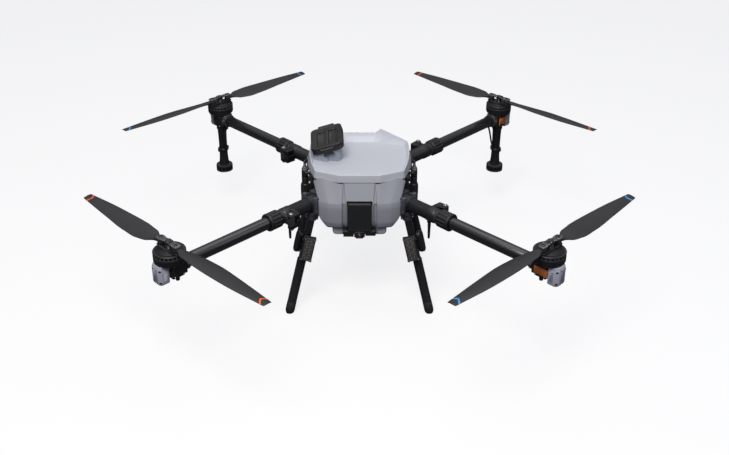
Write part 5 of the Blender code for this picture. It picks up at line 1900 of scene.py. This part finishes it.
# ------------------------------------------------------------------ build the middle
place([
    ("tank_shell", tank_shell(), "tank", "airframe", "tank_plastic",
     dict(replaces="tank", angle=28)),
    ("tank_neck", neck(), "neck", "airframe", "tank_plastic", dict(angle=40)),
    ("tank_neck_rib", neck_rib(), "neck", "airframe", "tank_plastic", dict(angle=40)),
    ("strainer", strainer(), "basket", "airframe", "black_plastic"),
])
place([
    ("cap_ears", tank_ears(), "black", "airframe", "black_plastic"),
    ("cap_lid", lid(), "black", "cap", "black_plastic", dict(replaces="tank_cap", angle=40)),
    ("cap_hinge_bar", lid_hinge(), "black", "cap", "black_plastic"),
    ("cap_latch_body", latch(), "black_fine", "latch", "black_plastic",
     dict(replaces="cap_latch")),
    ("cap_latch_pins", latch_pins(), "fitting", "latch", "clamp_metal"),
], CAP_FRAME)
place([
    ("nose_cover", nose_cover(), "shell", "airframe", "shell_plastic",
     dict(replaces="front_cover", angle=42)),
    ("radar_tray", radar_tray(), "seam", "airframe", "black_plastic", dict(angle=40)),
    ("radar_face", radar_face(), "radar", "airframe", "black_plastic",
     dict(replaces="radar_panel", angle=35)),
    ("tail_cover", tail_cover(), "shell", "airframe", "shell_plastic",
     dict(replaces="rear_cover", angle=38)),
    ("camera_carrier", camera_bar(), "black_fine", "airframe", "black_plastic",
     dict(replaces="camera_bar")),
    ("camera_head", camera_head(), "black_fine", "camera", "black_plastic",
     dict(replaces="fpv_camera")),
    ("camera_lens", camera_lens(), "lens", "camera", "black_plastic", dict(angle=60)),
    ("belly_shell", belly_shell(), "belly", "airframe", "shell_plastic",
     dict(replaces="belly_tray", angle=38)),
    ("battery_case", battery_case(), "battery", "battery", "battery_case",
     dict(replaces="battery", angle=38)),
    ("battery_handle", battery_handle(), "black", "battery", "battery_case"),
    ("battery_lights", battery_lights(), "led_base", "battery", "lamp_panel"),
])

for tag, side in (("L", -1), ("R", 1)):
    place([
        ("pump_body_{}", pump_body(), "pump", "airframe", "black_plastic",
         dict(replaces="pump_{}", angle=30)),
        ("pump_fitting_{}", pump_fitting(), "fitting", "airframe", "end_cover_grey",
         dict(angle=30)),
    ], move(side * PUMP_X, PUMP_Y), tag)
    place([
        ("pump_hose_{}", ribbed_hose(sided(HOSE_PATH, side)), "hose", "airframe",
         "black_plastic", dict(angle=60)),
        ("pump_feed_{}", sweep(spline(sided(FEED_PATH, side), 10), 0.0046, 18), "hose",
         "airframe", "black_plastic", dict(angle=60)),
    ], tag=tag)

CORNER_ROWS = [
    ("corner_clamp_{}", corner_clamp(), "black", "airframe", "black_anodised"),
    ("corner_strips_{}", corner_strips(), "bracket", "airframe", "black_anodised"),
    ("corner_screws_{}", corner_screws(), "steel", "airframe", "clamp_metal"),
    ("corner_holes_{}", corner_holes(), "seam", "airframe", "black_plastic"),
]
for tag, (direction, *_) in ARMS.items():
    arm_frame = turn('Z', direction)
    place(CORNER_ROWS, arm_frame, tag)
    if tag == "FL":
        mesh = moved(antenna(), arm_frame)
    elif tag == "FR":
        mesh = moved(antenna(), arm_frame @ Matrix.Scale(-1, 4, (0, 1, 0)))
        mesh.flip_normals()
    else:
        continue
    place([("antenna_{}", mesh, "black_fine", "airframe", "black_plastic")], tag=tag)


def leg_loc(point):
    return point.z, atan2(point.y - 0.2, point.x) * 0.30, 0.0


for tag, (side, _) in LEGS.items():
    upper, sleeve, toe = leg_parts(tag)
    place([
        ("leg_rod_{}", upper, "carbon", "airframe", "carbon_tube",
         dict(replaces="leg_{}", loc=leg_loc)),
        ("leg_sleeve_{}", sleeve, "black_fine", "airframe", "black_anodised"),
        ("leg_toe_{}", toe, "rubber", "airframe", "black_plastic", dict(angle=50)),
        ("leg_collar_{}", leg_collar(tag), "anodised", "airframe", "black_anodised"),
        ("leg_screws_{}", leg_screws(tag), "steel", "airframe", "clamp_metal"),
    ], tag=tag)
    if tag in ("FL", "FR"):
        middle = -LAMP_X * side
        lamp_frame = leg_seat(tag, LAMP_SHARE)
        place([
            ("lamp_housing_{}", lamp_housing(middle), "black", "airframe", "lamp_panel",
             dict(replaces="lamp_{}")),
            ("lamp_face_{}", lamp_face(middle), "lamp_face", "airframe", "lamp_panel"),
            ("lamp_leds_{}", lamp_leds(middle), "led", "airframe", "lamp_panel",
             dict(angle=60)),
            ("lamp_bases_{}", lamp_bases(middle), "led_base", "airframe", "lamp_panel"),
            ("lamp_screws_{}", lamp_screws(middle), "steel", "airframe", "clamp_metal"),
            ("lamp_strap_{}", lamp_strap(), "anodised", "airframe", "black_anodised"),
        ], lamp_frame, tag)
        pod_seat = move(side * 0.0270, 0.0080, 0.0080) @ turn('Z', -side * 22)
        place([("side_pod_{}", side_pod(side), "black_fine", "airframe", "black_plastic")],
              lamp_frame @ pod_seat, tag)

# CAD nodes that stay: bevelled and finished
for name, material, width in (("centre_frame", "anodised", 0.0009),
                              ("flight_controller", "fitting", 0.0020)):
    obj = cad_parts[name]
    obj.data.materials.clear()
    obj.data.materials.append(MATERIALS[material])
    edge = obj.modifiers.new("edge", 'BEVEL')
    edge.width = width
    edge.segments = 2
    edge.limit_method = 'ANGLE'
    edge.angle_limit = radians(35)
    edge.harden_normals = True


# ------------------------------------------------------------------ floor, light and camera
def floor():
    """Pale floor: bright to the camera, subdued in the light it throws back up."""
    mesh = box((-30, -30, -0.02), (30, 30, 0.0))
    material, tree, shader = surface("studio_floor", (0.92, 0.92, 0.92, 1), 0.9, grain=60,
                                     grain_bump=0.0, vary=0.01, wear=0.0, scratch=0.0,
                                     dust=0.0, spec=0.1)
    output = next(found for found in tree.nodes if found.type == 'OUTPUT_MATERIAL')
    to_camera = add_node(tree, "LightPath").outputs["Is Camera Ray"]
    glow = add_node(tree, "Emission", {"Color": (0.99, 0.99, 1.0, 1), "Strength": 1.0})
    seen = add_node(tree, "MixShader", {0: 0.78, 1: shader.outputs[0], 2: glow.outputs[0]})
    dim = add_node(tree, "BsdfDiffuse", {"Color": (0.088, 0.088, 0.10, 1)})
    pick = add_node(tree, "MixShader", {0: to_camera, 1: dim.outputs[0], 2: seen.outputs[0]})
    tree.links.new(pick.outputs[0], output.inputs[0])
    obj = bpy.data.objects.new("floor", mesh)
    mesh.materials.append(material)
    bpy.context.scene.collection.objects.link(obj)


def studio_world():
    """White to the camera; a grey gradient, paler overhead, to everything else."""
    world = bpy.data.worlds.new("studio")
    world.use_nodes = True
    tree = world.node_tree
    tree.nodes.clear()
    output = add_node(tree, "OutputWorld")
    axes = add_node(tree, "SeparateXYZ", {0: add_node(tree, "TexCoord").outputs["Generated"]})
    height = add_node(tree, "MapRange", {"Value": axes.outputs["Z"], "From Min": -1.0})
    sky = ramp(tree, height.outputs[0], 0.45, 0.98,
               ((0.048, 0.052, 0.066, 1), (0.46, 0.47, 0.50, 1)))
    dim = add_node(tree, "Background", {"Color": sky.outputs["Color"], "Strength": 1.0})
    bright = add_node(tree, "Background", {"Color": (1, 1, 1, 1)})
    to_camera = add_node(tree, "LightPath").outputs["Is Camera Ray"]
    pick = add_node(tree, "MixShader", {0: to_camera, 1: dim.outputs[0],
                                        2: bright.outputs[0]})
    tree.links.new(pick.outputs[0], output.inputs[0])
    return world


def area_light(name, location, size, power, colour):
    """Rectangular light aimed at the middle of the craft."""
    light = bpy.data.lights.new(name, 'AREA')
    light.shape = 'RECTANGLE'
    light.size, light.size_y = size
    light.energy = power
    light.color = colour
    obj = bpy.data.objects.new(name, light)
    obj.location = location
    aim = Vector((0, 0, 0.4)) - Vector(location)
    obj.rotation_euler = aim.to_track_quat('-Z', 'Y').to_euler()
    scene.collection.objects.link(obj)


floor()
scene = bpy.context.scene
scene.view_settings.view_transform = 'Standard'
scene.view_settings.look = 'None'
scene.world = studio_world()

area_light("key", location=(-0.6, -2.65, 4.1), size=(2.0, 2.0), power=158,
           colour=(1.0, 0.985, 0.965))
area_light("fill", location=(2.8, -1.2, 2.6), size=(2.4, 2.0), power=12,
           colour=(0.88, 0.93, 1.0))
area_light("top", location=(0.0, 0.6, 4.2), size=(3.2, 2.4), power=24, colour=(1.0, 1.0, 1.0))

CAMERA_DOWN = 26.34                   # degrees the view looks below level
camera_data = bpy.data.cameras.new("camera")
camera_data.lens = 45.98
camera_data.sensor_width = 36.0
camera_data.shift_x = 0.00686
camera_data.shift_y = -0.0857
camera = bpy.data.objects.new("camera", camera_data)
camera.location = (0.0, -3.0422, 2.0005)
camera.rotation_euler = (radians(90 - CAMERA_DOWN), 0, 0)
scene.collection.objects.link(camera)
scene.camera = camera
